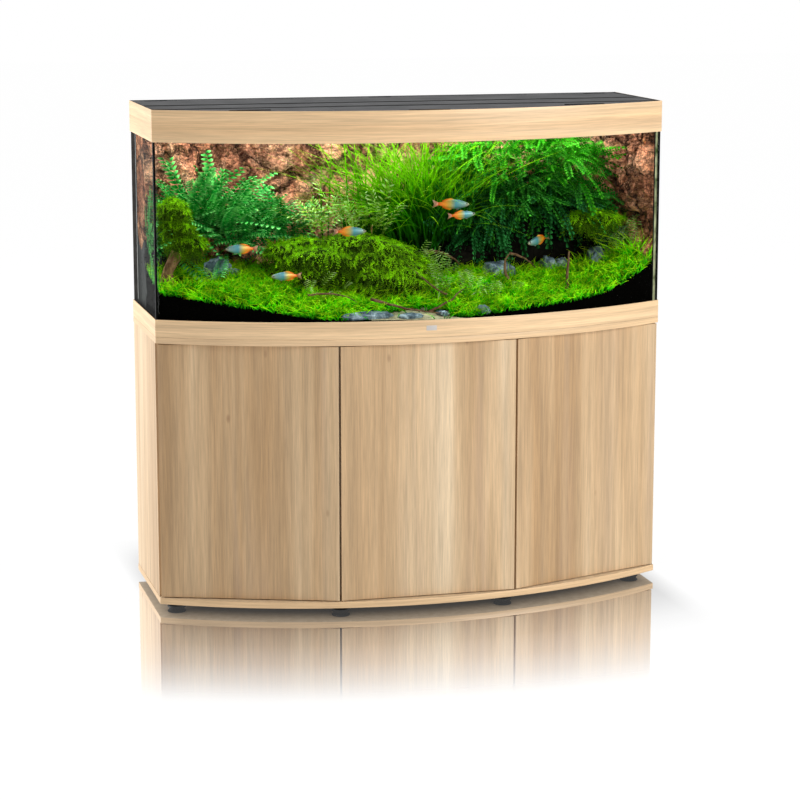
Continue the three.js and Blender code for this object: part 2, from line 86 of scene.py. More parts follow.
def front_y(x, inset=0.0):
    """y of the curved front at x, drawn in by inset."""
    return ARC_CENTRE_Y - np.sqrt((ARC_RADIUS - inset) ** 2 - np.square(x))


# ------------------------------------------------------------------ shader building
class Shader:
    """One node material with its Principled shader and short calls for common nodes."""

    def __init__(self, name, **sockets):
        self.material = bpy.data.materials.new(name)
        self.material.use_nodes = True
        self.tree = self.material.node_tree
        self.surface = self.tree.nodes["Principled BSDF"]
        self.output = self.tree.nodes["Material Output"]
        for key, value in sockets.items():
            self.surface.inputs[key.replace("_", " ")].default_value = value

    def node(self, kind, inputs=None, **settings):
        made = self.tree.nodes.new("ShaderNode" + kind)
        for key, value in settings.items():
            setattr(made, key, value)
        for key, value in (inputs or {}).items():
            self.plug(made.inputs[key], value)
        return made

    def plug(self, socket, value):
        if isinstance(value, bpy.types.NodeSocket):
            self.tree.links.new(value, socket)
        else:
            socket.default_value = value

    def set(self, name, value):
        self.plug(self.surface.inputs[name], value)

    def place(self, scale=(1, 1, 1), shift=(0, 0, 0)):
        source = self.node("TexCoord").outputs["Object"]
        return self.node("Mapping", {"Vector": source, "Scale": scale, "Location": shift}).outputs[0]

    def noise(self, where, scale, detail=3.0, rough=0.5, distort=0.0):
        inputs = {"Vector": where, "Scale": scale, "Detail": detail, "Roughness": rough}
        return self.node("TexNoise", {**inputs, "Distortion": distort}).outputs["Fac"]

    def cells(self, where, scale, feature="F1"):
        return self.node("TexVoronoi", {"Vector": where, "Scale": scale}, feature=feature).outputs["Distance"]

    def ramp(self, value, *stops):
        made = self.node("ValToRGB", {"Fac": value})
        elements = made.color_ramp.elements
        while len(elements) < len(stops):
            elements.new(0.5)
        for element, (position, colour) in zip(elements, stops):
            element.position = position
            element.color = (*colour, 1)
        return made.outputs["Color"]

    def grey(self, value, low, high, start=0.3, end=0.7):
        return self.ramp(value, (start, (low,) * 3), (end, (high,) * 3))

    def math(self, how, *values):
        return self.node("Math", dict(enumerate(values)), operation=how).outputs[0]

    def levels(self, value, *stops):
        """Value read off a curve of (position, level) stops joined by straight lines."""
        return self.ramp(value, *((position, (level,) * 3) for position, level in stops))

    def blend(self, share, under, over):
        """Mix of two shader nodes."""
        made = self.node("MixShader", {"Fac": share})
        self.plug(made.inputs[1], under.outputs[0])
        self.plug(made.inputs[2], over.outputs[0])
        return made

    def mix(self, share, a, b, how="MIX"):
        made = self.node("Mix", data_type="RGBA", blend_type=how)
        for index, value in ((0, share), (6, a), (7, b)):
            if isinstance(value, tuple):
                value = (*value, 1)
            self.plug(made.inputs[index], value)
        return made.outputs[2]

    def bump(self, height, strength, distance, under=None):
        inputs = {"Height": height, "Strength": strength, "Distance": distance}
        if under is not None:
            inputs["Normal"] = under
        normal = self.node("Bump", inputs).outputs[0]
        self.set("Normal", normal)
        return normal


# ------------------------------------------------------------------ materials: cabinet
def oak(name, along, shift=(0, 0, 0), light=1.0, depth=1.0):
    """Light laminate decor. along is the grain direction: 'z' upright, 'xy' level. light above 1 gives a
    lighter copy, painted light.
    """
    made = Shader(name, Roughness=0.42)
    across, stretched = 1.0, 0.03
    scale = (across, across, stretched) if along == "z" else (stretched, stretched, across * 1.6)
    where = made.place(scale, shift=shift)
    mean = (0.660, 0.455, 0.255)
    tan, mid, cream = (
        tuple(light * (m + depth * (c - m)) for c, m in zip(tone, mean))
        for tone in ((0.500, 0.310, 0.150), mean, (0.800, 0.610, 0.390))
    )
    broad = made.noise(where, 8.0, 3.0, 0.5, 0.5)
    colour = made.ramp(broad, (0.34, tan), (0.5, mid), (0.66, cream))
    streaks = made.noise(where, 42.0, 4.0, 0.65, 0.3)
    colour = made.mix(0.6, colour, made.grey(streaks, 0.66, 1.16, 0.32, 0.66), "MULTIPLY")
    fine = made.noise(where, 260.0, 3.0, 0.7)
    colour = made.mix(0.55, colour, made.grey(fine, 0.72, 1.12, 0.35, 0.62), "MULTIPLY")
    veil = made.noise(made.place(scale, shift=(3.1, 1.7, 0.4)), 14.0, 3.0, 0.5, 0.6)
    colour = made.mix(made.grey(veil, 0.0, 0.30, 0.56, 0.72), colour, (0.47, 0.33, 0.235))
    if along == "z":
        knots = made.cells(made.place((9.0, 9.0, 4.0), shift=shift), 1.0)
        colour = made.mix(made.levels(knots, (0.02, 0.75), (0.07, 0.0)), colour, (0.28, 0.15, 0.07))
    made.set("Base Color", colour)
    made.set("Roughness", made.grey(streaks, 0.50, 0.38))
    made.bump(fine, 0.12, 0.0006)
    return made.material


def carcass_board():
    made = Shader("carcass_board", Roughness=0.6)
    where = made.place((1, 1, 0.05))
    tone = made.noise(where, 45.0, 4.0, 0.6)
    made.set("Base Color", made.ramp(tone, (0.3, (0.56, 0.40, 0.235)), (0.7, (0.70, 0.53, 0.34))))
    made.bump(made.noise(where, 260.0, 3.0), 0.1, 0.0005)
    return made.material


def moulded_plastic(name, colour, rough, grain=900.0, depth=0.25, gloss=0.5):
    """Plastic with the fine spark-eroded texture of moulded covers."""
    made = Shader(name, Roughness=rough, Specular_IOR_Level=gloss)
    where = made.place()
    patch = made.noise(where, 9.0, 3.0)
    lighter = tuple(min(1.0, c * 1.35 + 0.004) for c in colour)
    made.set("Base Color", made.mix(made.grey(patch, 0.0, 0.6), colour, lighter))
    made.set("Roughness", made.grey(patch, rough + 0.08, rough - 0.06))
    made.bump(made.noise(where, grain, 2.0), depth, 0.0004)
    return made.material


def brushed_steel(name):
    colour = (0.60, 0.61, 0.63)
    made = Shader(name, Metallic=1.0, Roughness=0.3)
    where = made.place((1, 1, 0.06))
    streak = made.noise(where, 900.0, 2.0)
    made.set("Base Color", made.mix(made.grey(streak, 0.0, 0.5), colour, tuple(c * 0.8 for c in colour)))
    made.set("Roughness", made.grey(streak, 0.24, 0.38))
    made.bump(streak, 0.08, 0.0002)
    return made.material


# ------------------------------------------------------------------ materials: tank
def clear_glass(name, tint, shine):
    """Sheer pane: what is behind shows through, with a reflection that rises at flat angles."""
    made = Shader(name)
    sheer = made.node("BsdfTransparent", {"Color": (*tint, 1)})
    gloss = made.node("BsdfGlossy", {"Color": (1, 1, 1, 1), "Roughness": 0.03})
    facing = made.node("LayerWeight", {"Blend": 0.5}).outputs["Facing"]
    share = made.math("MULTIPLY", made.math("POWER", facing, 5.0), shine)
    made.plug(made.output.inputs["Surface"], made.blend(share, sheer, gloss).outputs[0])
    made.tree.nodes.remove(made.surface)
    return made.material


def glass_edge(name, dark, light, glow=0.0):
    """End face of a pane, with a painted mottle that stands in for what shows through the length of the
    glass.
    """
    made = Shader(name, Roughness=0.4, Specular_IOR_Level=0.1)
    tone = made.noise(made.place((1, 1, 0.5)), 60.0, 3.0)
    colour = made.ramp(tone, (0.35, dark), (0.6, light))
    made.set("Base Color", colour)
    # glow gives the end a painted glow, standing in for light carried along the pane.
    made.set("Emission Color", colour)
    made.set("Emission Strength", glow)
    return made.material


def light_tube():
    made = Shader("light_tube_diffuser", Roughness=0.3)
    diodes = made.cells(made.place((45.0, 0.0, 0.0)), 1.0)
    glow = made.ramp(diodes, (0.0, (1.0, 1.0, 0.98)), (0.6, (0.86, 0.93, 1.0)))
    made.set("Base Color", glow)
    made.set("Emission Color", glow)
    made.set("Emission Strength", 30.0)
    return made.material


def soil():
    made = Shader("black_soil_and_painted_shade", Roughness=0.95, Specular_IOR_Level=0.0)
    where = made.place()
    grain = made.cells(where, 420.0)
    # Near black: the soil's own dark colour, darkened further as painted shade.
    made.set("Base Color", made.ramp(grain, (0.1, (0.0006, 0.0006, 0.0005)), (0.9, (0.0022, 0.0020, 0.0016))))
    made.bump(grain, 0.8, 0.002)
    return made.material


def pale_sand():
    made = Shader("pale_sand", Roughness=0.9)
    where = made.place()
    grain = made.cells(where, 380.0)
    colour = made.ramp(grain, (0.1, (0.30, 0.24, 0.12)), (0.8, (0.72, 0.64, 0.40)))
    drift = made.noise(where, 30.0, 4.0, 0.6)
    made.set("Base Color", made.mix(made.grey(drift, 0.0, 0.8, 0.45, 0.65), colour, (0.10, 0.10, 0.05)))
    made.bump(grain, 0.6, 0.002)
    return made.material


def red_rock():
    """Reddish stone: slanting blocks of differing tone, with painted shade in the cracks between them."""
    made = Shader("red_rock", Roughness=0.9, Specular_IOR_Level=0.1)
    where = made.place()
    sway = made.node("TexNoise", {"Vector": where, "Scale": 6.0, "Detail": 5.0, "Roughness": 0.65})
    bent = made.mix(0.20, where, sway.outputs["Color"])
    broad = made.noise(where, 7.0, 6.0, 0.65, 1.0)
    darks = ((0.30, (0.26, 0.088, 0.046)), (0.46, (0.60, 0.225, 0.115)))
    lights = ((0.60, (0.80, 0.385, 0.215)), (0.76, (0.90, 0.56, 0.36)))
    colour = made.ramp(broad, *darks, *lights)
    tones = made.node("TexVoronoi", {"Vector": bent, "Scale": 8.0}).outputs["Color"]
    colour = made.mix(0.8, colour, made.grey(tones, 0.70, 1.30, 0.25, 0.75), "MULTIPLY")
    layers = made.noise(made.place((1.0, 1.0, 2.6), shift=(0.3, 0.1, 0.7)), 30.0, 6.0, 0.75, 1.2)
    colour = made.mix(0.8, colour, made.grey(layers, 0.35, 1.40, 0.40, 0.57), "MULTIPLY")
    pits = made.noise(where, 110.0, 6.0, 0.75)
    colour = made.mix(0.7, colour, made.grey(pits, 0.45, 1.35, 0.42, 0.57), "MULTIPLY")
    # Painted shade: the colour darkens in the cracks between blocks and along the edges of small chips.
    cracks = made.cells(bent, 8.0, "DISTANCE_TO_EDGE")
    colour = made.mix(1.0, colour, made.levels(cracks, (0.0, 0.10), (0.025, 0.50), (0.075, 1.0)), "MULTIPLY")
    chips = made.cells(bent, 27.0, "DISTANCE_TO_EDGE")
    colour = made.mix(1.0, colour, made.levels(chips, (0.0, 0.45), (0.06, 1.0)), "MULTIPLY")
    made.set("Base Color", colour)
    fine = made.bump(pits, 0.8, 0.003)
    rough = made.bump(layers, 1.0, 0.008, fine)
    chipped = made.bump(made.levels(chips, (0.0, 0.0), (0.12, 1.0)), 0.8, 0.006, rough)
    made.bump(made.levels(cracks, (0.0, 0.0), (0.12, 1.0)), 1.0, 0.022, chipped)
    return made.material


def grey_stone():
    made = Shader("grey_stone", Roughness=0.8, Specular_IOR_Level=0.15)
    where = made.place()
    veins = made.noise(where, 22.0, 6.0, 0.65, 1.5)
    stops = ((0.3, (0.030, 0.042, 0.050)), (0.5, (0.13, 0.19, 0.23)), (0.66, (0.52, 0.64, 0.70)))
    made.set("Base Color", made.ramp(veins, *stops))
    made.bump(made.noise(where, 120.0, 5.0, 0.7), 0.7, 0.003)
    return made.material


def bark(name, dark, light):
    made = Shader(name, Roughness=0.9, Specular_IOR_Level=0.05)
    where = made.place((1, 1, 0.4))
    ridges = made.noise(where, 60.0, 5.0, 0.65, 1.0)
    made.set("Base Color", made.ramp(ridges, (0.3, dark), (0.7, light)))
    made.bump(ridges, 0.8, 0.003)
    return made.material


def leaf(name, shade, body, tip, patch=26.0, rough=0.6):
    """Leaf green along V from a near-black root, painted shade, to a lighter tip, partly painted light;
    mottled from leaf to leaf.
    """
    made = Shader(name, Roughness=rough, Specular_IOR_Level=0.03)
    split = made.node("SeparateXYZ", {"Vector": made.node("TexCoord").outputs["UV"]})
    along = made.ramp(split.outputs["Y"], (0.0, shade), (0.45, body), (1.0, tip))
    where = made.place()
    mottle = made.noise(where, patch, 3.0, 0.6)
    colour = made.mix(0.9, along, made.grey(mottle, 0.35, 1.45, 0.32, 0.68), "MULTIPLY")
    veins = made.noise(where, patch * 14, 2.0)
    colour = made.mix(0.5, colour, made.grey(veins, 0.7, 1.25), "MULTIPLY")
    made.set("Base Color", colour)
    made.bump(veins, 0.3, 0.001)
    return made.material


def fish_skin():
    made = Shader("fish_skin", Roughness=0.3)
    split = made.node("SeparateXYZ", {"Vector": made.node("TexCoord").outputs["UV"]})
    stops = (
        (0.00, (0.42, 0.34, 0.18)),
        (0.14, (0.18, 0.31, 0.28)),
        (0.38, (0.05, 0.26, 0.32)),
        (0.52, (0.52, 0.38, 0.06)),
        (0.66, (0.90, 0.28, 0.005)),
        (0.86, (0.85, 0.10, 0.00)),
        (1.00, (0.40, 0.24, 0.14)),
    )
    body = made.ramp(split.outputs["X"], *stops)
    shades = ((0.0, (1.0, 0.95, 0.80)), (0.45, (1, 1, 1)), (1.0, (0.55, 0.65, 0.68)))
    belly = made.ramp(split.outputs["Y"], *shades)
    colour = made.mix(0.7, body, belly, "MULTIPLY")
    scales = made.cells(made.place(), 520.0)
    colour = made.mix(0.4, colour, made.grey(scales, 1.15, 0.7, 0.1, 0.7), "MULTIPLY")
    made.set("Base Color", colour)
    made.set("Metallic", 0.25)
    made.bump(scales, 0.3, 0.0006)
    return made.material


def plain_eye():
    made = Shader("fish_eye", Roughness=0.1)
    ring = made.cells(made.place(), 300.0)
    made.set("Base Color", made.ramp(ring, (0.2, (0.004, 0.004, 0.004)), (0.9, (0.03, 0.03, 0.02))))
    return made.material


# ------------------------------------------------------------------ mesh helpers
def noise_shift(place):
    """A noise value for each axis. Unlike noise.noise_vector, it is the same in every run."""
    offsets = ((9.3, -1.5, -8.0), (0.0, 0.0, 0.0), (6.3, 0.2, -2.7))
    return Vector([noise.noise(place + Vector(offset)) for offset in offsets])


def finish_piece(obj, replaces=(), body=ROOT):
    """Puts a piece on its body, in place of the CAD nodes it stands for."""
    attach(obj, body)
    if replaces:
        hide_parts(*replaces)
    return obj


def to_object(name, mesh, materials, sharp):
    """Object for a mesh. sharp is the angle over which an edge stays hard; None leaves the shading."""
    for material in materials:
        mesh.materials.append(material)
    if sharp is not None:
        mesh.shade_smooth()
        mesh.set_sharp_from_angle(angle=math.radians(sharp))
    obj = bpy.data.objects.new(name, mesh)
    bpy.context.scene.collection.objects.link(obj)
    return obj


def new_mesh(name, verts, faces, *materials, uvs=None, sharp=35.0):
    """Object from vertex and face lists. uvs holds one (u, v) for each vertex."""
    mesh = bpy.data.meshes.new(name)
    mesh.from_pydata(np.asarray(verts, float).tolist(), [], np.asarray(faces).tolist())
    if uvs is not None:
        corner = np.zeros(len(mesh.loops), np.int32)
        mesh.loops.foreach_get("vertex_index", corner)
        layer = mesh.uv_layers.new(name="UVMap")
        layer.data.foreach_set("uv", np.asarray(uvs, np.float32)[corner].ravel())
    return to_object(name, mesh, materials, sharp)


def from_bmesh(name, bm, *materials, sharp=35.0):
    bmesh.ops.recalc_face_normals(bm, faces=bm.faces)
    mesh = bpy.data.meshes.new(name)
    bm.to_mesh(mesh)
    bm.free()
    return to_object(name, mesh, materials, sharp)


def closed_solid(name, verts, faces, *materials, sharp=35.0):
    """Object from lists of points and faces, with its faces turned outwards."""
    bm = bmesh.new()
    made = [bm.verts.new(v) for v in verts]
    for face in faces:
        bm.faces.new([made[i] for i in face])
    return from_bmesh(name, bm, *materials, sharp=sharp)


def ring_faces(rings, around, closed=False):
    """Quads that join a row of rings of points, and the last ring to the first if closed."""
    faces = []
    for j in range(rings if closed else rings - 1):
        k = (j + 1) % rings
        for i in range(around):
            n = (i + 1) % around
            faces.append((j * around + i, j * around + n, k * around + n, k * around + i))
    return faces


def capped_faces(rings, around):
    """Those quads, with a flat face over the first ring and the last."""
    last = (rings - 1) * around
    return ring_faces(rings, around) + [tuple(range(around))[::-1], tuple(range(last, last + around))]


def bevel_sharp(bm, width):
    edges = [e for e in bm.edges if e.is_manifold and e.calc_face_angle(0) > math.radians(40.0)]
    bmesh.ops.bevel(bm, geom=edges, offset=width, segments=2, profile=0.6, affect="EDGES")


def prism(name, outline, z0, z1, *materials, bevel=0.0, matrix=None):
    """Upright prism over a plan outline, with softened edges."""
    bm = bmesh.new()
    low = [bm.verts.new((x, y, z0)) for x, y in outline]
    high = [bm.verts.new((x, y, z1)) for x, y in outline]
    bm.faces.new(low[::-1])
    bm.faces.new(high)
    for i in range(len(low)):
        j = (i + 1) % len(low)
        bm.faces.new((low[i], low[j], high[j], high[i]))
    bmesh.ops.recalc_face_normals(bm, faces=bm.faces)
    if bevel:
        bevel_sharp(bm, bevel)
    if matrix is not None:
        bm.transform(matrix)
    return from_bmesh(name, bm, *materials)


def block(name, low, high, *materials, bevel=0.0):
    outline = [(low[0], low[1]), (high[0], low[1]), (high[0], high[1]), (low[0], high[1])]
    return prism(name, outline, low[2], high[2], *materials, bevel=bevel)


def lathe(name, profile, place, *materials, axis="z", steps=32):
    """Solid of revolution. profile holds (radius, height) from one end of the axis to the other."""
    bm = bmesh.new()
    rings = []
    for radius, height in profile:
        count = steps if radius > 1e-6 else 1
        angles = [2 * math.pi * k / steps for k in range(count)]
        rings.append([bm.verts.new((radius * math.cos(a), radius * math.sin(a), height)) for a in angles])
    for below, above in zip(rings, rings[1:]):
        for k in range(steps):
            corners = [below[k % len(below)], below[(k + 1) % len(below)]]
            corners += [above[(k + 1) % len(above)], above[k % len(above)]]
            unique = list(dict.fromkeys(corners))
            if len(unique) > 2:
                bm.faces.new(unique)
    if axis == "y":
        bm.transform(Matrix.Rotation(-math.pi / 2, 4, "X"))
    if axis == "x":
        bm.transform(Matrix.Rotation(math.pi / 2, 4, "Y"))
    bm.transform(Matrix.Translation(place))
    return from_bmesh(name, bm, *materials)


def bow_arc(inset, half):
    """Points of the curved front drawn in by inset, from x = -half to half."""
    radius = ARC_RADIUS - inset
    end = math.asin(half / radius)
    angles = np.linspace(-end, end, ARC_STEPS + 1)
    return np.stack([radius * np.sin(angles), ARC_CENTRE_Y - radius * np.cos(angles)], 1)


def bow_outline(inset):
    """Plan outline of the object drawn in by inset, starting at the front left corner."""
    half = HALF_WIDTH - inset
    front = bow_arc(inset, half)
    back = np.array([[half, BACK_Y - inset], [-half, BACK_Y - inset]])
    return np.concatenate([front, back])


def bow_loop(name, section, *materials):
    """Ring that follows the bow outline. section is a closed list of (inset, z)."""
    rings = [bow_outline(inset) for inset, _ in section]
    count, around = len(section), len(rings[0])
    verts = [(x, y, z) for ring, (_, z) in zip(rings, section) for x, y in ring]
    return closed_solid(name, verts, ring_faces(count, around, closed=True), *materials)


def rounded_section(points, radius):
    """Closed (inset, z) outline with every corner rounded by the same small radius."""
    steps = 3
    corners = [Vector(p) for p in points]
    made = []
    for i, corner in enumerate(corners):
        before = (corners[i - 1] - corner).normalized()
        after = (corners[(i + 1) % len(corners)] - corner).normalized()
        for k in range(steps + 1):
            t = k / steps
            a, b = corner + before * radius, corner + after * radius
            made.append(tuple(a * (1 - t) ** 2 + corner * (2 * t * (1 - t)) + b * t**2))
    return made


def bow_panel(name, z0, z1, *materials):
    """Board with the full bow outline and softened edges."""
    radius = 0.6 * MM
    profile = [(radius, z0), (0.3 * radius, z0 + 0.3 * radius), (0.0, z0 + radius)]
    profile += [(0.0, z1 - radius), (0.3 * radius, z1 - 0.3 * radius), (radius, z1)]
    verts = [(x, y, z) for inset, z in profile for x, y in bow_outline(inset)]
    around = len(verts) // len(profile)
    return closed_solid(name, verts, capped_faces(len(profile), around), *materials)


def tube(name, points, radii, *materials, sides=8):
    """Closed round tube through points, tapered by radii."""
    points = [Vector(p) for p in points]
    verts = []
    side = Vector((0, 0, 1))
    for i, (point, radius) in enumerate(zip(points, radii)):
        ahead = (points[min(i + 1, len(points) - 1)] - points[max(i - 1, 0)]).normalized()
        slant = side.dot(ahead)
        side = (side - ahead * slant).normalized() if abs(slant) < 0.98 else ahead.orthogonal()
        other = ahead.cross(side)
        for k in range(sides):
            angle = 2 * math.pi * k / sides
            verts.append(point + (side * math.cos(angle) + other * math.sin(angle)) * radius)
    return closed_solid(name, verts, capped_faces(len(points), sides), *materials, sharp=60.0)


# ------------------------------------------------------------------ camera, light and floor
def add_camera():
    """Stands left of the object and looks slightly down and to the right."""
    place, lens, heading, tilt = (-1.847, -6.972, 1.934), 111.53, 14.743, 10.759
    data = bpy.data.cameras.new("camera")
    data.sensor_width = 36.0
    data.lens = lens
    camera = bpy.data.objects.new("camera", data)
    bpy.context.scene.collection.objects.link(camera)
    camera.location = place
    camera.rotation_euler = (math.pi / 2 - math.radians(tilt), 0, -math.radians(heading))
    bpy.context.scene.camera = camera


def area_light(name, place, target, size, power):
    data = bpy.data.lights.new(name, "AREA")
    data.shape = "RECTANGLE"
    data.size, data.size_y = size
    data.energy = power
    light = bpy.data.objects.new(name, data)
    bpy.context.scene.collection.objects.link(light)
    light.location = place
    light.rotation_euler = (Vector(target) - Vector(place)).to_track_quat("-Z", "Y").to_euler()


def add_studio():
    """Three soft lights, and a world that is white in sight but lights the scene more weakly."""
    scene = bpy.context.scene
    scene.view_settings.view_transform = "Standard"
    area_light("side_light", (-5.0, 2.5, 1.6), (0, 0, 0.8), (2.5, 2.6), 275)
    area_light("front_light", (3.4, -4.4, 2.6), (0, 0, 0.8), (2.6, 2.6), 212)
    area_light("top_light", (0.0, -0.6, 4.2), (0, 0, 0), (3.0, 2.0), 30)
    world = bpy.data.worlds.new("studio")
    world.use_nodes = True
    scene.world = world
    tree = world.node_tree
    back = tree.nodes["Background"]
    path = tree.nodes.new("ShaderNodeLightPath")
    seen = tree.nodes.new("ShaderNodeMath")
    seen.operation = "MAXIMUM"
    tree.links.new(path.outputs["Is Camera Ray"], seen.inputs[0])
    tree.links.new(path.outputs["Is Glossy Ray"], seen.inputs[1])
    fill, white = 0.25, 1.0
    level = tree.nodes.new("ShaderNodeMapRange")
    level.inputs["To Min"].default_value = fill
    level.inputs["To Max"].default_value = white
    tree.links.new(seen.outputs[0], level.inputs["Value"])
    tree.links.new(level.outputs[0], back.inputs["Strength"])
    back.inputs["Color"].default_value = (1, 1, 1, 1)


def add_floor():
    """Pale floor: polished and softly shaded round the object, plain white farther out."""
    made = Shader("pale_floor")
    where = made.node("TexCoord").outputs["Object"]
    split = made.node("SeparateXYZ", {"Vector": where})
    side = made.math("ABSOLUTE", split.outputs["X"])
    behind = made.math("SUBTRACT", split.outputs["Y"], BACK_Y)
    arc_centre = (0.0, ARC_CENTRE_Y, 0.0)
    away = made.node("VectorMath", {0: where, 1: arc_centre}, operation="DISTANCE").outputs["Value"]
    before = made.math("SUBTRACT", away, ARC_RADIUS)
    beside = made.math("SUBTRACT", side, HALF_WIDTH)
    outside = made.math("MAXIMUM", made.math("MAXIMUM", before, behind), beside)
    mirror = ((0.0, 0.94), (0.30, 0.86), (0.48, 0.72), (0.64, 0.46), (0.80, 0.10), (0.90, 0.0))
    share = made.levels(outside, *mirror)
    depth = made.levels(outside, (0.0, 0.34), (0.16, 0.24), (0.34, 0.07), (0.48, 0.0))
    shade = made.math("MULTIPLY", depth, made.levels(side, (0.71, 1.0), (0.79, 0.0)))
    light = made.math("SUBTRACT", 1.0, shade)
    tone = made.node("CombineXYZ", {axis: light for axis in "XYZ"}).outputs[0]
    glow = made.node("Emission", {"Color": tone, "Strength": 0.97})
    matt = made.node("BsdfDiffuse", {"Color": (0.10, 0.10, 0.10, 1)})
    plain = made.node("AddShader")
    made.plug(plain.inputs[0], glow.outputs[0])
    made.plug(plain.inputs[1], matt.outputs[0])
    polish = made.node("BsdfGlossy", {"Color": tone, "Roughness": 0.02})
    # For rays other than camera rays the floor glows: painted bounce light, none under the object and up to
    # 0.9 farther out.
    under = made.math("ADD", outside, 0.2)
    bounce = made.node("Emission", {"Strength": made.levels(under, (0.10, 0.0), (0.24, 0.9))})
    seen = made.node("LightPath").outputs["Is Camera Ray"]
    surface = made.blend(seen, bounce, made.blend(share, plain, polish))
    made.plug(made.output.inputs["Surface"], surface.outputs[0])
    made.tree.nodes.remove(made.surface)
    size = 30.0
    corners = [(-size, -size, 0), (size, -size, 0), (size, size, 0), (-size, size, 0)]
    new_mesh("floor", corners, [(0, 1, 2, 3)], made.material, sharp=None)


# ------------------------------------------------------------------ CAD pieces that stay in sight
def dress(node, width, *materials, segments=2):
    """Gives a CAD node its materials and, by modifiers only, softened edges."""
    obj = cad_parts[node]
    obj.data.materials.clear()
    for material in materials:
        obj.data.materials.append(material)
    if "custom_normal" in obj.data.attributes:
        obj.data.attributes.remove(obj.data.attributes["custom_normal"])
    obj.data.shade_smooth()
    obj.modifiers.new("join_corners", "WELD").merge_threshold = 0.02 * MM
    bevel = obj.modifiers.new("soft_edges", "BEVEL")
    bevel.width = width
    bevel.segments = segments
    bevel.limit_method = "ANGLE"
    bevel.angle_limit = math.radians(35)
    obj.modifiers.new("flat_faces", "WEIGHTED_NORMAL").keep_sharp = True
    return obj


def paint_where(obj, test, index):
    """Uses another of the object's materials on the faces whose centre and normal pass the test."""
    for face in obj.data.polygons:
        if test(face.center, face.normal):
            face.material_index = index


def dress_carcass(board):
    upright = oak("oak_side_panel", "z", (0.3, 0.9, 0.2), 1.0)
    for side in ("left", "right"):
        dress(f"side_panel_{side}", 0.5 * MM, upright)
        dress(f"partition_{side}", 0.4 * MM, board)
        dress(f"shelf_{side}", 0.4 * MM, board)
    dress("back_panel", 0.4 * MM, board)
    for number, side in enumerate(("left", "middle", "right")):
        decor = oak(f"oak_door_{side}", "z", (2.37 * number + 0.55, 1.9 * number, 0.0))
        dress(f"door_{side}", 0.6 * MM, decor)


def dress_fittings():
    steel = brushed_steel("nickel_steel")
    grey = moulded_plastic("latch_plastic", (0.10, 0.105, 0.11), 0.45)
    for door in ("left", "middle", "right"):
        for end in ("lower", "upper"):
            dress(f"hinge_cup_{door}_{end}", 0.3 * MM, steel)
            dress(f"hinge_arm_{door}_{end}", 0.8 * MM, steel)
            add_hinge_screws(door, end, steel)
        dress(f"latch_body_{door}", 0.8 * MM, grey)
        dress(f"latch_plunger_{door}", 0.8 * MM, grey)


def add_hinge_screws(door, end, steel):
    """Two domed screws on each hinge's mounting plate."""
    arm = f"hinge_arm_{door}_{end}"
    middle_z, rear = centre_of(arm).z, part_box(arm)[1].y
    side = 1.0 if door == "right" else -1.0
    uprights = {"left": "side_panel_left", "middle": "partition_left", "right": "side_panel_right"}
    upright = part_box(uprights[door])
    face = upright[0].x if side > 0 else upright[1].x
    plate_y, plate_thick, screw_gap = rear - 8 * MM, 4.3 * MM, 26 * MM
    section = ((0.0, -0.5), (3.6, -0.5), (3.6, 0.5), (2.6, 1.3), (0.0, 1.5))
    profile = [(radius * MM, height * MM) for radius, height in section]
    for number, dz in enumerate((-screw_gap / 2, screw_gap / 2)):
        place = (face - side * plate_thick, plate_y, middle_z + dz)
        head = lathe(f"hinge_screw_{door}_{end}_{number}", profile, (0, 0, 0), steel, axis="x", steps=18)
        head.data.transform(Matrix.Translation(place) @ Matrix.Scale(-side, 4, (1, 0, 0)))
        if side > 0:
            head.data.flip_normals()
        finish_piece(head)


# ------------------------------------------------------------------ cabinet boards, feet and tank frames
def add_boards(board, rail):
    """Base and top panels: laminate on the edges, plain board above and below."""
    for node in ("base_panel", "top_panel"):
        z0, z1 = z_range(node)
        panel = bow_panel(f"{node}_board", z0, z1, rail, board)
        paint_where(panel, lambda centre, normal: abs(normal.z) > 0.9, 1)
        finish_piece(panel, (node,))


def add_feet():
    """Round feet with a wide base, a waist and a collar, as shares of radius and height."""
    black = moulded_plastic("foot_plastic", (0.005, 0.005, 0.005), 0.5, gloss=0.2)
    base = ((0, 0), (0.93, 0), (1.0, 0.10), (1.0, 0.30), (0.86, 0.36))
    neck = ((0.80, 0.80), (0.98, 0.86), (0.98, 1), (0, 1))
    for node in sorted(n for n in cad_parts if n.startswith("foot_")):
        low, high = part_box(node)
        radius, height = (high.x - low.x) / 2, high.z - low.z
        rings = [(share * radius, rise * height) for share, rise in (*base, *neck)]
        middle = centre_of(node)
        foot = lathe(f"{node}_moulded", rings, (middle.x, middle.y, low.z), black, steps=40)
        finish_piece(foot, (node,))


def add_frames(rail, black):
    """Wood-look bands above and below the tank, and the black frame that carries the lids."""
    z0, z1 = z_range("bottom_frame")
    skin, ledge = 2.7 * MM, 5.7 * MM
    points = [(0, z0), (30 * MM, z0), (30 * MM, z0 + ledge), (skin, z0 + ledge), (skin, z1), (0, z1)]
    frame_low = bow_loop("bottom_frame_band", rounded_section(points, 0.7 * MM), rail, black)
    paint_where(frame_low, hidden_or_rear, 1)
    finish_piece(frame_low, ("bottom_frame",))

    z0, z1 = z_range("hood_band")
    points = [(0, z0), (skin, z0), (skin, z1), (0, z1)]
    band = bow_loop("hood_band_curved", rounded_section(points, 0.7 * MM), rail, black)
    paint_where(band, hidden_or_rear, 1)
    finish_piece(band, ("hood_band",))

    z0, z1 = z_range("top_frame")
    shelf = z1 - 6.3 * MM
    points = [(3 * MM, z0), (30 * MM, z0), (30 * MM, shelf), (8 * MM, shelf), (8 * MM, z1), (3 * MM, z1)]
    carrier = bow_loop("top_frame_ledge", rounded_section(points, 0.8 * MM), black)
    finish_piece(carrier, ("top_frame",))


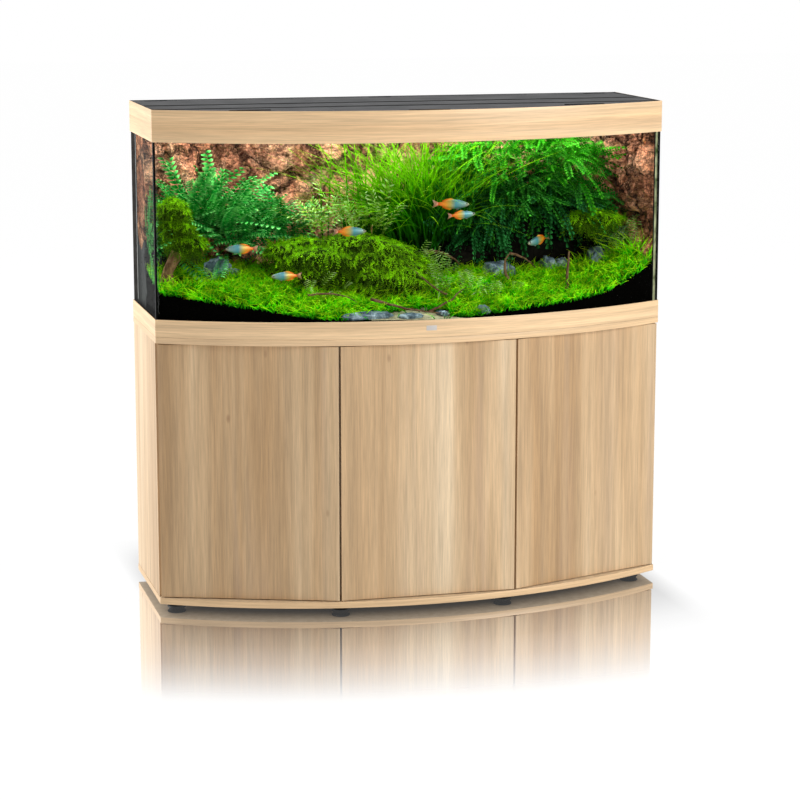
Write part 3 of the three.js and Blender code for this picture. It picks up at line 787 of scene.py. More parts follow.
def hidden_or_rear(centre, _):
    """Faces of a band without the wood decor: its inner side and its run along the back."""
    to_front = ARC_RADIUS - math.hypot(centre.x, ARC_CENTRE_Y - centre.y)
    inset = min(to_front, HALF_WIDTH - abs(centre.x), BACK_Y - centre.y)
    return inset > 1.5 * MM or centre.y > BACK_Y - 4 * MM


def add_blank_plate():
    """Small blank plate on the middle of the lower band."""
    grey = moulded_plastic("plate_plastic", (0.50, 0.47, 0.44), 0.5)
    half, face, z0, z1 = 15 * MM, cad_low.y, 0.820, 0.834
    low, high = (-half, face - 0.35 * MM, z0), (half, face + 0.6 * MM, z1)
    finish_piece(block("blank_plate", low, high, grey, bevel=0.25 * MM))


# ------------------------------------------------------------------ glass, silicone and water
def add_glass(edge, sealant_and_shade, end_painted_glow):
    """Panes, with painted faces where the edge of the real glass would show: a painted view through the
    glass, and a painted glow on the right pane's front end.
    """
    front = clear_glass("front_pane_glass", (0.985, 1.0, 0.992), 0.05)
    side = clear_glass("side_pane_glass", (0.93, 0.95, 0.94), 0.065)
    z0, z1 = z_range("front_glass")
    half = HALF_WIDTH - GLASS_INSET
    outer, inner = bow_arc(GLASS_INSET, half), bow_arc(PANE_INNER, half)
    pane = prism("front_pane", [*outer, *inner[::-1]], z0, z1, front, edge, sealant_and_shade)
    paint_where(pane, lambda centre, normal: abs(normal.z) > 0.9, 1)
    paint_where(pane, lambda centre, normal: abs(normal.x) > 0.9, 2)
    finish_piece(pane, ("front_glass",))
    thin = {"side_glass_left": "x", "side_glass_right": "x", "back_glass": "y", "bottom_glass": "z"}
    for node, across in thin.items():
        obj = dress(node, 0.6 * MM, side if across == "x" else front, edge, end_painted_glow)
        # Tops and ends show a painted view through the glass; the right pane's front end also carries a
        # painted glow.
        paint_where(obj, lambda centre, normal: normal.z > 0.9 and across != "z", 1)
        paint_where(obj, lambda centre, normal: normal.y > 0.9 and across == "x", 1)
        paint_where(obj, lambda centre, normal: abs(normal.x) > 0.9 and across == "y", 1)
        paint_where(obj, lambda centre, normal: normal.y < -0.9 and centre.x > 0 and across == "x", 2)


def add_silicone(black):
    """Black sealant in the tank's corners. Each joint runs from start to end in from the pane's end."""
    z0, z1 = z_range("front_glass")
    outer, inner = HALF_WIDTH - GLASS_INSET, HALF_WIDTH - PANE_INNER
    back = BACK_Y - PANE_INNER
    joints = (
        ("left", -1, 0.0, 7.0 * MM),
        ("right_outer", 1, 0.0, 2.5 * MM),
        ("right_inner", 1, 11.6 * MM, 15.5 * MM),
    )
    for name, sign, start, end in joints:
        near, far = outer - start, outer - end
        slopes = [front_y(x, PANE_INNER) + 0.1 * MM for x in (near, far)]
        deep = slopes[0] + 0.5 * MM if start == 0 else slopes[1] + 3 * MM
        outline = [(sign * near, slopes[0]), (sign * near, deep), (sign * far, deep), (sign * far, slopes[1])]
        finish_piece(prism(f"silicone_front_{name}", outline, z0, z1, black))
    for side, sign in (("left", -1), ("right", 1)):
        bead = ((0, 0), (0, 4), (3, 2), (5, 0))
        outline = [(sign * (inner - inward * MM), back - forward * MM) for inward, forward in bead]
        finish_piece(prism(f"silicone_rear_{side}", outline, z0, z1, black))
    floor_z = z_range("bottom_glass")[1]
    bead = ((0, 0), (6, 0), (2, 2), (0, 6))
    section = [(PANE_INNER + inward * MM + 0.05 * MM, floor_z + up * MM) for inward, up in bead]
    finish_piece(bow_loop("silicone_floor", section, black))


def tank_plan(rows, columns, rear, height):
    """Points over the inside of the tank. rear(x) is the far edge, height(x, y, share of the way)."""
    half = HALF_WIDTH - CLEAR_INSET
    points = []
    for v in np.linspace(0, 1, rows + 1):
        for x in np.linspace(-half, half, columns + 1):
            y = float(front_y(x, CLEAR_INSET)) * (1 - v) + rear(x) * v
            points.append((x, y, height(x, y, v)))
    return points


def add_water():
    """Rippled sheet at the water line."""
    made = clear_glass("water_surface", (0.97, 1.0, 0.99), 0.30)
    columns, rows, level, swell = 120, 50, 1.3800, 0.0006

    def surface(x, y, _):
        return level + swell * math.sin(x * 70 + 2 * math.sin(y * 31)) * math.cos(y * 83 + math.sin(x * 23))

    points = tank_plan(rows, columns, lambda x: BACK_Y - CLEAR_INSET, surface)
    finish_piece(new_mesh("water_surface", points, grid_faces(rows, columns), made))


# ------------------------------------------------------------------ hood, lids and lights
def dress_hood(lid):
    """Lids and light unit, the bushes in the rear cover's notches and the strips over the hinges."""
    strip = moulded_plastic("hinge_strip_rubber", (0.004, 0.004, 0.004), 0.9, gloss=0.05)
    low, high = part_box("light_unit")
    for node in ("light_unit", "flap_front_left", "flap_front_middle", "flap_front_right", "rear_cover"):
        obj = dress(node, 0.9 * MM, lid, strip, segments=3)
        # The grip bars are what stands above the unit's top; their near-black rubber is partly painted shade
        # for the dark mark along them.
        paint_where(obj, lambda centre, normal: centre.z > high.z + 0.3 * MM, 1)
    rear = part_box("rear_cover")[1]
    half, deep = 32.7 * MM, 15.7 * MM
    for number, x in enumerate((-0.680, 0.0, 0.680)):
        corners = (x - half, rear.y - deep, rear.z - 3 * MM), (x + half, rear.y, rear.z + 0.8 * MM)
        bush = block(f"cable_bush_{number}", *corners, strip, bevel=0.4 * MM)
        finish_piece(bush, body="rear_cover")
    wide = 15 * MM
    for end, y0 in (("front", low.y), ("rear", high.y - wide)):
        corners = (low.x, y0, high.z + 0.1 * MM), (high.x, y0 + wide, high.z + 0.9 * MM)
        cover = block(f"hinge_strip_{end}", *corners, strip, bevel=0.3 * MM)
        finish_piece(cover, body="light_unit")


def add_light_tubes(cap):
    """Two tubes with dark end caps, each held by three clips."""
    glow = light_tube()
    for end in ("front", "rear"):
        node = f"light_tube_{end}"
        low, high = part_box(node)
        centre = centre_of(node)
        half, wide, thin = (high.x - low.x) / 2, 15 * MM, 13 * MM
        step = half - 40 * MM
        cap_end = [(0, half), (12 * MM, half), (wide, half - 3 * MM), (wide, step + 2 * MM)]
        cap_end += [(wide - 1 * MM, step), (thin, step)]
        profile = [(radius, -along) for radius, along in cap_end] + cap_end[::-1]
        lamp = lathe(f"{node}_lamp", profile, centre, glow, cap, axis="x", steps=36)
        paint_where(lamp, lambda c, n: abs(c.x) > step - 1 * MM, 1)
        finish_piece(lamp, (node,), "light_unit")
        for number, x in enumerate((-0.52, 0.0, 0.52)):
            clip = lamp_clip(f"lamp_clip_{end}_{number}", (x, centre.y, centre.z), cap)
            finish_piece(clip, body="light_unit")


def lamp_clip(name, place, material):
    """Open spring clip round the upper half of a tube, with its foot on the channel."""
    inner, outer, half = 13.3 * MM, 14.9 * MM, 6 * MM
    angles = [math.radians(a) for a in range(-25, 206, 11)]
    ring = [(outer * math.cos(a), outer * math.sin(a)) for a in angles]
    ring += [(inner * math.cos(a), inner * math.sin(a)) for a in reversed(angles)]
    turn = Matrix.Translation(place) @ Matrix(((0, 0, 1, 0), (1, 0, 0, 0), (0, 1, 0, 0), (0, 0, 0, 1)))
    return prism(name, ring, -half, half, material, matrix=turn)


def dress_filter(black):
    foam = moulded_plastic("filter_foam", (0.012, 0.018, 0.028), 0.95, 420.0, 1.0)
    dress("filter_box", 0.8 * MM, black)
    dress("filter_foam", 2.0 * MM, foam)
    dress("filter_pump", 2.0 * MM, black)
    heater = moulded_plastic("heater_tube", (0.30, 0.33, 0.34), 0.12, 260.0, 0.15)
    dress("heater", 1.0 * MM, heater)


# ------------------------------------------------------------------ ground and rocks
TANK_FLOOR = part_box("substrate")[0].z
PALE_BED = (-0.03, -0.270, 0.150, 0.080)


def grid_faces(rows, columns):
    """Quads of a grid of (rows + 1) x (columns + 1) points kept row by row."""
    j, i = np.meshgrid(np.arange(rows), np.arange(columns), indexing="ij")
    first = (j * (columns + 1) + i).ravel()
    return np.stack([first, first + 1, first + columns + 2, first + columns + 1], 1)


def grid_rim(rows, columns):
    """Indices round the edge of that grid, each place once."""
    rim = list(range(columns + 1))
    rim += [j * (columns + 1) + columns for j in range(1, rows + 1)]
    rim += [rows * (columns + 1) + i for i in range(columns - 1, -1, -1)]
    return rim + [j * (columns + 1) for j in range(rows - 1, 0, -1)]


def smoothstep(value, low, high):
    t = np.clip((value - low) / (high - low), 0, 1)
    return t * t * (3 - 2 * t)


def ground(x, y):
    """Soil height: lowest at the front centre, rising to the middle, the back and the two ends."""
    inwards = 0.062 * smoothstep(y, -0.290, 0.0) + 0.015 * smoothstep(y, -0.050, 0.238)
    left_end = 0.022 * smoothstep(-x, 0.250, 0.480)
    right_end = 0.010 * smoothstep(x, 0.050, 0.250) + 0.062 * np.maximum(0, (x - 0.45) / 0.30) ** 2
    ripple = 0.004 * np.sin(x / 0.09) * np.cos(y / 0.07)
    return TANK_FLOOR + 0.030 + inwards + left_end + right_end + ripple


def pale_share(x, y):
    """1 in the open bed of pale sand at the front centre, 0 outside it."""
    cx, cy, rx, ry = PALE_BED
    away = np.hypot((x - cx) / rx, (y - cy) / ry) + 0.18 * np.sin(x * 60 + 3 * np.sin(y * 45))
    return 1 - smoothstep(away, 0.75, 1.1)


def slab(name, top, rows, columns, floor_z, *materials):
    """Closed block below a grid of points, with a flat underside at floor_z."""
    rim = grid_rim(rows, columns)
    count = len(top)
    low = [(top[k][0], top[k][1], floor_z) for k in rim]
    faces = grid_faces(rows, columns).tolist()
    for k in range(len(rim)):
        n = (k + 1) % len(rim)
        faces.append([rim[k], count + k, count + n, rim[n]])
    faces.append([count + k for k in range(len(rim))])
    return closed_solid(name, list(top) + low, faces, *materials, sharp=50.0)


def add_soil():
    """Bed that ends at the filter's front on the left and at the foot of the rock wall elsewhere."""
    columns, rows, coarse = 220, 70, 0.0022
    filter_side, filter_front, wall_foot = -0.602, 0.190, 0.236

    def surface(x, y, share):
        grain = coarse * noise.noise(Vector((x, y, 0.0)) * 160.0)
        return float(ground(x, y)) + grain * math.sin(math.pi * share)

    top = tank_plan(rows, columns, lambda x: filter_front if x < filter_side else wall_foot, surface)
    bed = slab("soil_bed", top, rows, columns, TANK_FLOOR, soil(), pale_sand())
    paint_where(bed, lambda c, n: n.z > 0.3 and pale_share(c.x, c.y) > 0.5, 1)
    finish_piece(bed, ("substrate",))


def rock_relief(x, z, seed):
    """How far the rock stands out at a place on the wall: blocks parted by slanting cracks."""
    warp = noise_shift(Vector((x * 4.0, seed, z * 4.0)))
    where = Vector((x * 5.5 + 2.4 * z + 0.45 * warp.x, seed, z * 4.2 - 1.6 * x + 0.45 * warp.z))
    near, far = noise.voronoi(where)[0][:2]
    crack = min(1.0, (far - near) / 0.22) ** 0.6
    swell = noise.fractal(Vector((x, seed, z)) * 6.0, 0.7, 2.1, 5)
    slant = Vector((x * 1.6 + z * 0.7, seed + 4, z - 0.4 * x))
    ridge = noise.ridged_multi_fractal(slant * 13.0, 0.8, 2.2, 5, 1.0, 2.0)
    return max(0.0, 0.028 * crack + 0.024 * swell + 0.013 * ridge - 0.016)


def wall_sheet(name, path, heights, rows, seed, material, thick=6 * MM):
    """Rock sheet on a plan path, standing out to the right of the direction of travel."""
    path = np.array(path)
    lengths = np.concatenate([[0.0], np.cumsum(np.hypot(*np.diff(path, axis=0).T))])
    pitch, reach = 0.0055, 0.01
    stations = np.linspace(0.0, lengths[-1], int(lengths[-1] / pitch) + 1)

    def at(s):
        return np.stack([np.interp(s, lengths, path[:, 0]), np.interp(s, lengths, path[:, 1])], 1)

    places = at(stations)
    run = at(np.minimum(stations + reach, lengths[-1])) - at(np.maximum(stations - reach, 0.0))
    run /= np.hypot(*run.T)[:, None]
    outward = np.stack([run[:, 1], -run[:, 0]], 1)
    levels = np.linspace(*heights, rows + 1)
    relief = np.array([[rock_relief(x + y, z, seed) for x, y in places] for z in levels])
    half, back = HALF_WIDTH - PANE_INNER - 0.5 * MM, BACK_Y - PANE_INNER - 0.5 * MM
    verts = []
    for out in (relief, np.full_like(relief, -thick)):
        for z, row in zip(levels, out):
            plan = places + outward * row[:, None]
            plan = np.minimum(np.maximum(plan, (-half, -1.0)), (half, back))
            verts.append(np.column_stack([plan, np.full(len(plan), z)]))
    columns = len(stations) - 1
    front = grid_faces(rows, columns)
    count = (rows + 1) * (columns + 1)
    rim = grid_rim(rows, columns)
    edge = [(b, a, a + count, b + count) for a, b in zip(rim, rim[1:] + rim[:1])]
    faces = np.concatenate([front, front[:, ::-1] + count, np.array(edge)])
    return new_mesh(name, np.concatenate(verts), faces, material, sharp=60.0)


def add_rocks(shadow):
    """Rock wall behind the plants, and a thinner sheet wrapped round the filter, painted near-black shade
    below.
    """
    rock = red_rock()
    z1 = z_range("rock_background")[1]
    path = [(-0.600, 0.272), (0.690, 0.272), (0.722, 0.245), (0.7335, 0.180), (0.7335, -0.0875)]
    wall = wall_sheet("rock_wall", path, (TANK_FLOOR, z1), 100, 3.7, rock)
    finish_piece(wall, ("rock_background",))
    path = [(-0.7393, 0.2893), (-0.7393, 0.186), (-0.7260, 0.176)]
    path += [(-0.6150, 0.170), (-0.5990, 0.182), (-0.5960, 0.250)]
    front = wall_sheet("filter_front_rock", path, (TANK_FLOOR, z1), 100, 8.2, rock, 3 * MM)
    front.data.materials.append(shadow)
    # Below about z 1.03 the sheet is painted near black: painted shade.
    painted_shade_below = 1.030
    paint_where(front, lambda c, n: c.z < painted_shade_below + 0.02 * math.sin(40 * (c.x + c.y)), 1)
    finish_piece(front)


def pebble(name, place, size, seed, material, turn):
    """Angular stone: a fine ball pushed in and out by noise."""
    bm = bmesh.new()
    bmesh.ops.create_icosphere(bm, subdivisions=4, radius=1.0)
    for vert in bm.verts:
        facet = noise.voronoi(vert.co * 1.4 + Vector((seed, 0, 0)))[0][0]
        rough = noise.fractal(vert.co * 2.6 + Vector((0, seed, 0)), 0.9, 2.1, 5)
        vert.co *= 0.80 + 0.22 * facet + 0.20 * rough
    scale = Matrix.Diagonal((*size, 1.0))
    bm.transform(Matrix.Translation(place) @ Matrix.Rotation(turn, 4, "Z") @ scale)
    return finish_piece(from_bmesh(name, bm, material, sharp=70.0))


def add_stones():
    grey = grey_stone()
    stones = [
        (-0.548, 0.020, 0.052, 0.030, 0.050, 0.4),
        (-0.500, 0.030, 0.030, 0.022, 0.024, 1.1),
        (0.284, -0.020, 0.056, 0.038, 0.038, 0.2),
        (0.458, 0.050, 0.036, 0.028, 0.036, 2.0),
        (0.500, 0.050, 0.030, 0.024, 0.030, 0.8),
        (0.605, 0.030, 0.044, 0.030, 0.042, 1.3),
        (0.698, 0.060, 0.030, 0.030, 0.060, 0.3),
        (0.660, 0.080, 0.040, 0.030, 0.045, 0.9),
        (-0.175, -0.255, 0.085, 0.022, 0.014, 0.1),
        (-0.050, -0.262, 0.040, 0.018, 0.010, 0.2),
        (0.165, -0.245, 0.034, 0.020, 0.016, 2.2),
        (0.050, -0.235, 0.026, 0.016, 0.010, 1.9),
    ]
    for number, (x, y, wide, deep, tall, turn) in enumerate(stones):
        place = (x, y, float(ground(x, y)) + 0.45 * tall)
        pebble(f"stone_{number}", place, (wide, deep, tall), 3.1 * number + 1.0, grey, turn)


# ------------------------------------------------------------------ plants
UP = np.array([0.0, 0.0, 1.0])
PLANT_REAR = 0.255
PLANT_CEILING = 1.368


def unit(vectors):
    return vectors / np.maximum(np.linalg.norm(vectors, axis=-1, keepdims=True), 1e-9)


def spread(rng, count, low, high):
    return rng.uniform(low, high, count)


def rows_of(*coordinates):
    """Vectors, one to a row, from an array or a number for each coordinate."""
    return np.stack(np.broadcast_arrays(*coordinates), 1)


def random_bends(rng, count, across, forward, upward):
    """Random vectors: (mean, deviation) across and forward, and an even range upward."""
    return rows_of(rng.normal(*across, count), rng.normal(*forward, count), spread(rng, count, *upward))


def scatter3(rng, count, centre, deviation):
    return np.asarray(centre, float) + rng.normal(size=(count, 3)) * np.asarray(deviation)


def inside_tank(points):
    """Pushes points that would pass through a pane or the water line back inside."""
    inset = PANE_INNER + 2.5 * MM
    half = HALF_WIDTH - inset
    points[..., 0] = np.clip(points[..., 0], -half, half)
    points[..., 1] = np.clip(points[..., 1], front_y(points[..., 0], inset), PLANT_REAR)
    over = np.maximum(points[..., 2] - (PLANT_CEILING - 0.03), 0)
    points[..., 2] -= over - 0.03 * (1 - np.exp(-over / 0.03))
    return points


def grow(name, shape, roots, aims, lengths, widths, sags, material, rng, faces_up=0.0):
    """Copies a flat leaf shape to many roots. Each copy starts along its aim and bends by its sag."""
    points, quads, uvs = shape
    aims = unit(aims)
    loose = unit(rng.normal(size=roots.shape))
    side = unit(loose * (1 - faces_up) + np.cross(aims, UP) * faces_up)
    side = unit(side - aims * np.sum(side * aims, 1, keepdims=True))
    normal = np.cross(side, aims)
    x, y, z = (axis[None, :, None] for axis in points.T)
    lengths, widths = lengths[:, None, None], widths[:, None, None]
    verts = roots[:, None] + side[:, None] * (x * widths) + aims[:, None] * (y * lengths)
    verts += sags[:, None] * (y**2 * lengths) + normal[:, None] * (z * widths)
    verts = inside_tank(verts)
    offsets = np.arange(len(roots)) * len(points)
    faces = (quads[None] + offsets[:, None, None]).reshape(-1, 4)
    obj = new_mesh(name, verts.reshape(-1, 3), faces, material, uvs=np.tile(uvs, (len(roots), 1)), sharp=80.0)
    return finish_piece(obj)


def blade_shape(steps, curl=0.15):
    """Grass blade: a strip that narrows to a point, with a shallow fold."""
    t = np.linspace(0, 1, steps + 1)
    half = 0.5 * (1 - t**1.8) + 0.02
    left, right = np.stack([-half, t, curl * half], 1), np.stack([half, t, curl * half], 1)
    uvs = np.concatenate([np.stack([0 * t, t], 1), np.stack([0 * t + 1, t], 1)])
    j = np.arange(steps)
    quads = np.stack([j, j + steps + 1, j + steps + 2, j + 1], 1)
    return np.concatenate([left, right]), quads, uvs


def frond_shape(pairs, leaf_length, leaf_width, lean=0.45, start=0.12):
    """Stalk with leaflets in turn on its two sides; x is in frond widths, y runs 0 to 1."""
    points = [(-0.012, 0.0, 0.0), (0.012, 0.0, 0.0), (0.006, 1.0, 0.0), (-0.006, 1.0, 0.0)]
    uvs = [(0.5, 0.1), (0.5, 0.1), (0.5, 0.6), (0.5, 0.6)]
    quads = [(0, 1, 2, 3)]
    outline = ((0.0, 0.0), (0.35, 1.0), (0.75, 0.7), (1.0, 0.0), (0.70, -0.6), (0.30, -0.9))
    for k in range(pairs):
        t = start + (1 - start) * k / pairs
        size = leaf_length * (0.55 + 0.45 * math.sin(math.pi * min(1.0, 0.15 + 0.95 * (1 - t))))
        for sign in (-1, 1):
            first = len(points)
            foot = t + 0.3 / pairs * sign
            for along, across in outline:
                reach, breadth = size * along, 0.5 * across * leaf_width
                x = sign * (reach * math.cos(lean) - breadth * math.sin(lean))
                y = foot + 0.16 * (reach * math.sin(lean) + breadth * math.cos(lean))
                points.append((x, y, -0.22 * reach * along + 0.12 * breadth))
                uvs.append((0.5 + 0.5 * across, 0.25 + 0.35 * along + 0.4 * t * along))
            quads.append((first, first + 1, first + 4, first + 5))
            quads.append((first + 1, first + 2, first + 3, first + 4))
    return np.array(points), np.array(quads), np.array(uvs)


def lawn_roots(rng, count, taken):
    """Root points over the soil, kept out of the pale bed and out of the solid pieces."""
    inset = PANE_INNER + 3 * MM
    x = spread(rng, count, -HALF_WIDTH + inset, HALF_WIDTH - inset)
    y = spread(rng, count, cad_low.y + inset, 0.22)
    bare = pale_share(x, y)
    for cx, cy, rx, ry in taken:
        bare = np.maximum(bare, np.hypot((x - cx) / rx, (y - cy) / ry) < 1)
    keep = (y > front_y(x, inset)) & (rng.random(count) > 0.97 * bare)
    # Clear of the filter's rock on the left and of the rock's return on the right.
    keep &= ((x > -0.60) | (y < 0.16)) & ((x < 0.69) | (y < 0.15))
    x, y = x[keep], y[keep]
    return rows_of(x, y, ground(x, y) - 1 * MM)


def tufts(x, y):
    """Slow variation that makes the lawn higher and lower in tufts."""
    return 0.5 + 0.25 * np.sin(x * 41 + 3 * np.sin(y * 29)) + 0.25 * np.sin(y * 57 + 2 * np.sin(x * 33))


def add_lawn():
    rng = np.random.default_rng(11)
    grass = leaf("hairgrass", (0.001, 0.018, 0.000), (0.070, 0.780, 0.001), (0.740, 1.000, 0.012), 20.0)
    taken = ((-0.18, 0.0, 0.235, 0.09), (0.40, 0.14, 0.22, 0.10), (-0.664, 0.0, 0.05, 0.05))
    roots = lawn_roots(rng, 30000, taken)
    order = np.argsort(roots[:, 0])
    for part, chosen in enumerate(np.array_split(order, 6)):
        base = roots[chosen]
        count = len(base)
        x, y = base[:, 0], base[:, 1]
        aims = rows_of(rng.normal(0, 0.50, count), rng.normal(-0.12, 0.42, count), 1.0)
        sags = random_bends(rng, count, (0, 0.45), (-0.20, 0.40), (-0.6, 0.0))
        # Blades stand lower at the front pane and high at the right end.
        gap = y - front_y(x, PANE_INNER)
        lengths = spread(rng, count, 0.022, 0.050) + 0.026 * tufts(x, y)
        lengths *= (0.70 + 0.30 * smoothstep(gap, 0.0, 0.06)) * (1 + 0.9 * smoothstep(x, 0.60, 0.74))
        widths = spread(rng, count, 0.0024, 0.0044)
        grow(f"lawn_{part}", blade_shape(3), base, aims, lengths, widths, sags, grass, rng)


def add_crowns(name, shape, crowns, rise, droop, width, material, rng):
    """Fronds fanned out from several crowns. Each crown is a place, a count and a length range."""
    for number, (crown, count, size) in enumerate(crowns):
        roots = scatter3(rng, count, crown, (0.030, 0.018, 0.015))
        angle = spread(rng, count, 0, 2 * math.pi)
        aims = rows_of(np.cos(angle), 0.6 * np.sin(angle) - 0.2, spread(rng, count, *rise))
        sideways, forward = rng.normal(0, 0.14, count), spread(rng, count, -0.15, 0.05)
        sags = rows_of(sideways, forward, spread(rng, count, *droop))
        lengths = spread(rng, count, *size)
        widths = spread(rng, count, *width)
        grow(f"{name}_{number}", shape, roots, aims, lengths, widths, sags, material, rng, 0.7)


def add_left_ferns():
    green = leaf("fern_green", (0.001, 0.020, 0.002), (0.014, 0.300, 0.030), (0.320, 0.880, 0.220), 40.0)
    crowns = (
        ((-0.700, 0.100, 1.020), 34, (0.14, 0.24)),
        ((-0.620, 0.100, 1.060), 46, (0.14, 0.25)),
        ((-0.560, 0.090, 1.080), 54, (0.16, 0.27)),
        ((-0.490, 0.100, 1.040), 54, (0.14, 0.26)),
        ((-0.420, 0.110, 1.040), 48, (0.12, 0.22)),
        ((-0.350, 0.120, 1.040), 40, (0.10, 0.19)),
    )
    shape, rng = frond_shape(13, 0.52, 0.30), np.random.default_rng(5)
    add_crowns("left_fern", shape, crowns, (-0.2, 2.4), (-0.40, -0.05), (0.036, 0.052), green, rng)


def add_right_bush():
    """Broad weeping bush: leafy stems over a crown that hangs above near-black wood; painted shade low in the
    crown, painted light on top.
    """
    rng = np.random.default_rng(23)
    deep = leaf("bush_painted_shade", (0.000, 0.005, 0.001), (0.003, 0.045, 0.005), (0.040, 0.260, 0.060), 34.0)
    green = leaf("bush_green", (0.000, 0.010, 0.001), (0.006, 0.090, 0.003), (0.070, 0.380, 0.030), 26.0)
    painted_lit_leaf = leaf("bush_painted_light", (0.001, 0.020, 0.000), (0.014, 0.190, 0.002), (0.120, 0.600, 0.020), 26.0)
    shape = frond_shape(12, 0.52, 0.40, lean=0.35)
    # Shaded and lit copies of one leaf: painted shade in the core, painted light on the top.
    kinds = (
        ("core", deep, 5, 1.130, (-1.0, 0.4)),
        ("middle", green, 4, 1.190, (-0.6, 0.8)),
        ("top", painted_lit_leaf, 3, 1.285, (-0.1, 1.2)),
    )
    count = 130
    for kind, material, parts, height, rise in kinds:
        for part in range(parts):
            across, depth = spread(rng, count, -1, 1), spread(rng, count, -1, 1)
            x = 0.385 + 0.215 * across
            y = 0.115 + 0.085 * depth
            z = height - 0.045 * across**2 - 0.02 * depth**2 + rng.normal(0, 0.030, count)
            roots = rows_of(x, y, z)
            aims = random_bends(rng, count, (0, 0.5), (-0.5, 0.4), rise)
            aims[:, 0] += 0.9 * across
            sags = random_bends(rng, count, (0, 0.25), (-0.1, 0.15), (-0.9, 0.0))
            lengths = spread(rng, count, 0.06, 0.13)
            # The stems spring from above the hollow below the bush.
            keep = (z > 1.06) & ~((np.abs(x - 0.44) < 0.12) & (z < 1.13))
            widths = spread(rng, int(keep.sum()), 0.018, 0.030)
            picked = (roots[keep], aims[keep], lengths[keep], widths, sags[keep])
            grow(f"right_bush_{kind}_{part}", shape, *picked, material, rng, 0.5)


def add_long_grass():
    rng = np.random.default_rng(31)
    green = leaf("long_grass", (0.000, 0.008, 0.000), (0.025, 0.230, 0.000), (0.360, 0.820, 0.004), 14.0)
    # name, count, place, scatter, then the ranges of lean, bend and droop
    groups = (
        ("back", 300, (0.060, 0.150, 0.985), (0.100, 0.020), (0.00, 0.16), (-0.10, 0.26), (-0.45, -0.10)),
        ("centre", 300, (0.085, 0.090, 0.985), (0.065, 0.030), (0.02, 0.15), (-0.08, 0.26), (-0.50, -0.10)),
        ("leaning", 170, (0.050, 0.070, 0.985), (0.040, 0.025), (-0.10, 0.12), (-0.45, 0.20), (-0.80, -0.30)),
        ("rightward", 70, (0.110, 0.070, 0.985), (0.040, 0.030), (0.10, 0.10), (0.15, 0.15), (-0.80, -0.30)),
    )
    for name, count, place, scatter, lean, bend, droop in groups:
        roots = scatter3(rng, count, place, (*scatter, 0.0))
        aims = rows_of(rng.normal(*lean, count), rng.normal(-0.08, 0.12, count), 1.0)
        sags = random_bends(rng, count, bend, (-0.12, 0.18), droop)
        lengths, widths = spread(rng, count, 0.32, 0.52), spread(rng, count, 0.0036, 0.0068)
        grow(f"long_grass_{name}", blade_shape(14, 0.3), roots, aims, lengths, widths, sags, green, rng, 0.3)


def add_stem_plants():
    pale = leaf("stem_plant_green", (0.030, 0.120, 0.004), (0.260, 0.520, 0.040), (0.800, 0.920, 0.480), 30.0)
    crowns = (
        ((-0.236, 0.010, 1.065), 16, (0.08, 0.15)),
        ((-0.155, 0.020, 1.070), 16, (0.08, 0.16)),
        ((-0.080, 0.030, 1.070), 16, (0.08, 0.17)),
        ((0.070, -0.060, 0.950), 16, (0.05, 0.10)),
        ((0.110, -0.160, 0.905), 16, (0.04, 0.09)),
        ((0.200, -0.190, 0.895), 12, (0.04, 0.08)),
        ((-0.250, -0.150, 0.905), 8, (0.03, 0.06)),
        ((0.650, 0.050, 1.010), 26, (0.05, 0.09)),
        ((0.695, 0.000, 0.990), 26, (0.05, 0.09)),
    )
    shape, rng = frond_shape(7, 0.9, 0.22, lean=0.9), np.random.default_rng(47)
    add_crowns("stem_plants", shape, crowns, (0.8, 3.2), (-0.4, 0.0), (0.026, 0.040), pale, rng)


def surface_points(obj, rng, count):
    """Random points spread evenly over a mesh, with the outward direction at each."""
    mesh = obj.data
    mesh.calc_loop_triangles()
    corners = np.array([[mesh.vertices[i].co for i in tri.vertices] for tri in mesh.loop_triangles])
    across, along = corners[:, 1] - corners[:, 0], corners[:, 2] - corners[:, 0]
    normals = np.cross(across, along)
    areas = np.linalg.norm(normals, axis=1)
    picked = rng.choice(len(areas), count, p=areas / areas.sum())
    a, b = rng.random((2, count, 1))
    folded = (a + b) > 1
    a, b = np.where(folded, 1 - a, a), np.where(folded, 1 - b, b)
    return corners[picked, 0] + a * across[picked] + b * along[picked], unit(normals[picked])


def moss_over(name, base, materials, rng, count, lengths):
    """Moss sprigs over a base mesh, combed downwards and thinner on its underside. Sprigs that face up take
    the painted-light copy, the rest the painted-shade copy.
    """
    roots, out = surface_points(base, rng, count)
    keep = (out[:, 2] > -0.25) | (rng.random(count) > 0.65)
    shape = frond_shape(5, 0.5, 0.34, lean=0.8, start=0.2)
    lit = out[:, 2] > 0.35 + 0.2 * rng.normal(size=count)
    for part, chosen in (("top", keep & lit), ("side", keep & ~lit)):
        base_points, facing = roots[chosen], out[chosen]
        number = len(base_points)
        aims = facing + rng.normal(0, 0.5, (number, 3)) + np.array([0, -0.1, 0.05])
        sags = np.array([0, -0.15, -0.8]) + rng.normal(0, 0.3, (number, 3))
        sizes = spread(rng, number, *lengths)
        grow(f"{name}_{part}", shape, base_points, aims, sizes, sizes * 0.42, sags, materials[part], rng, 0.5)


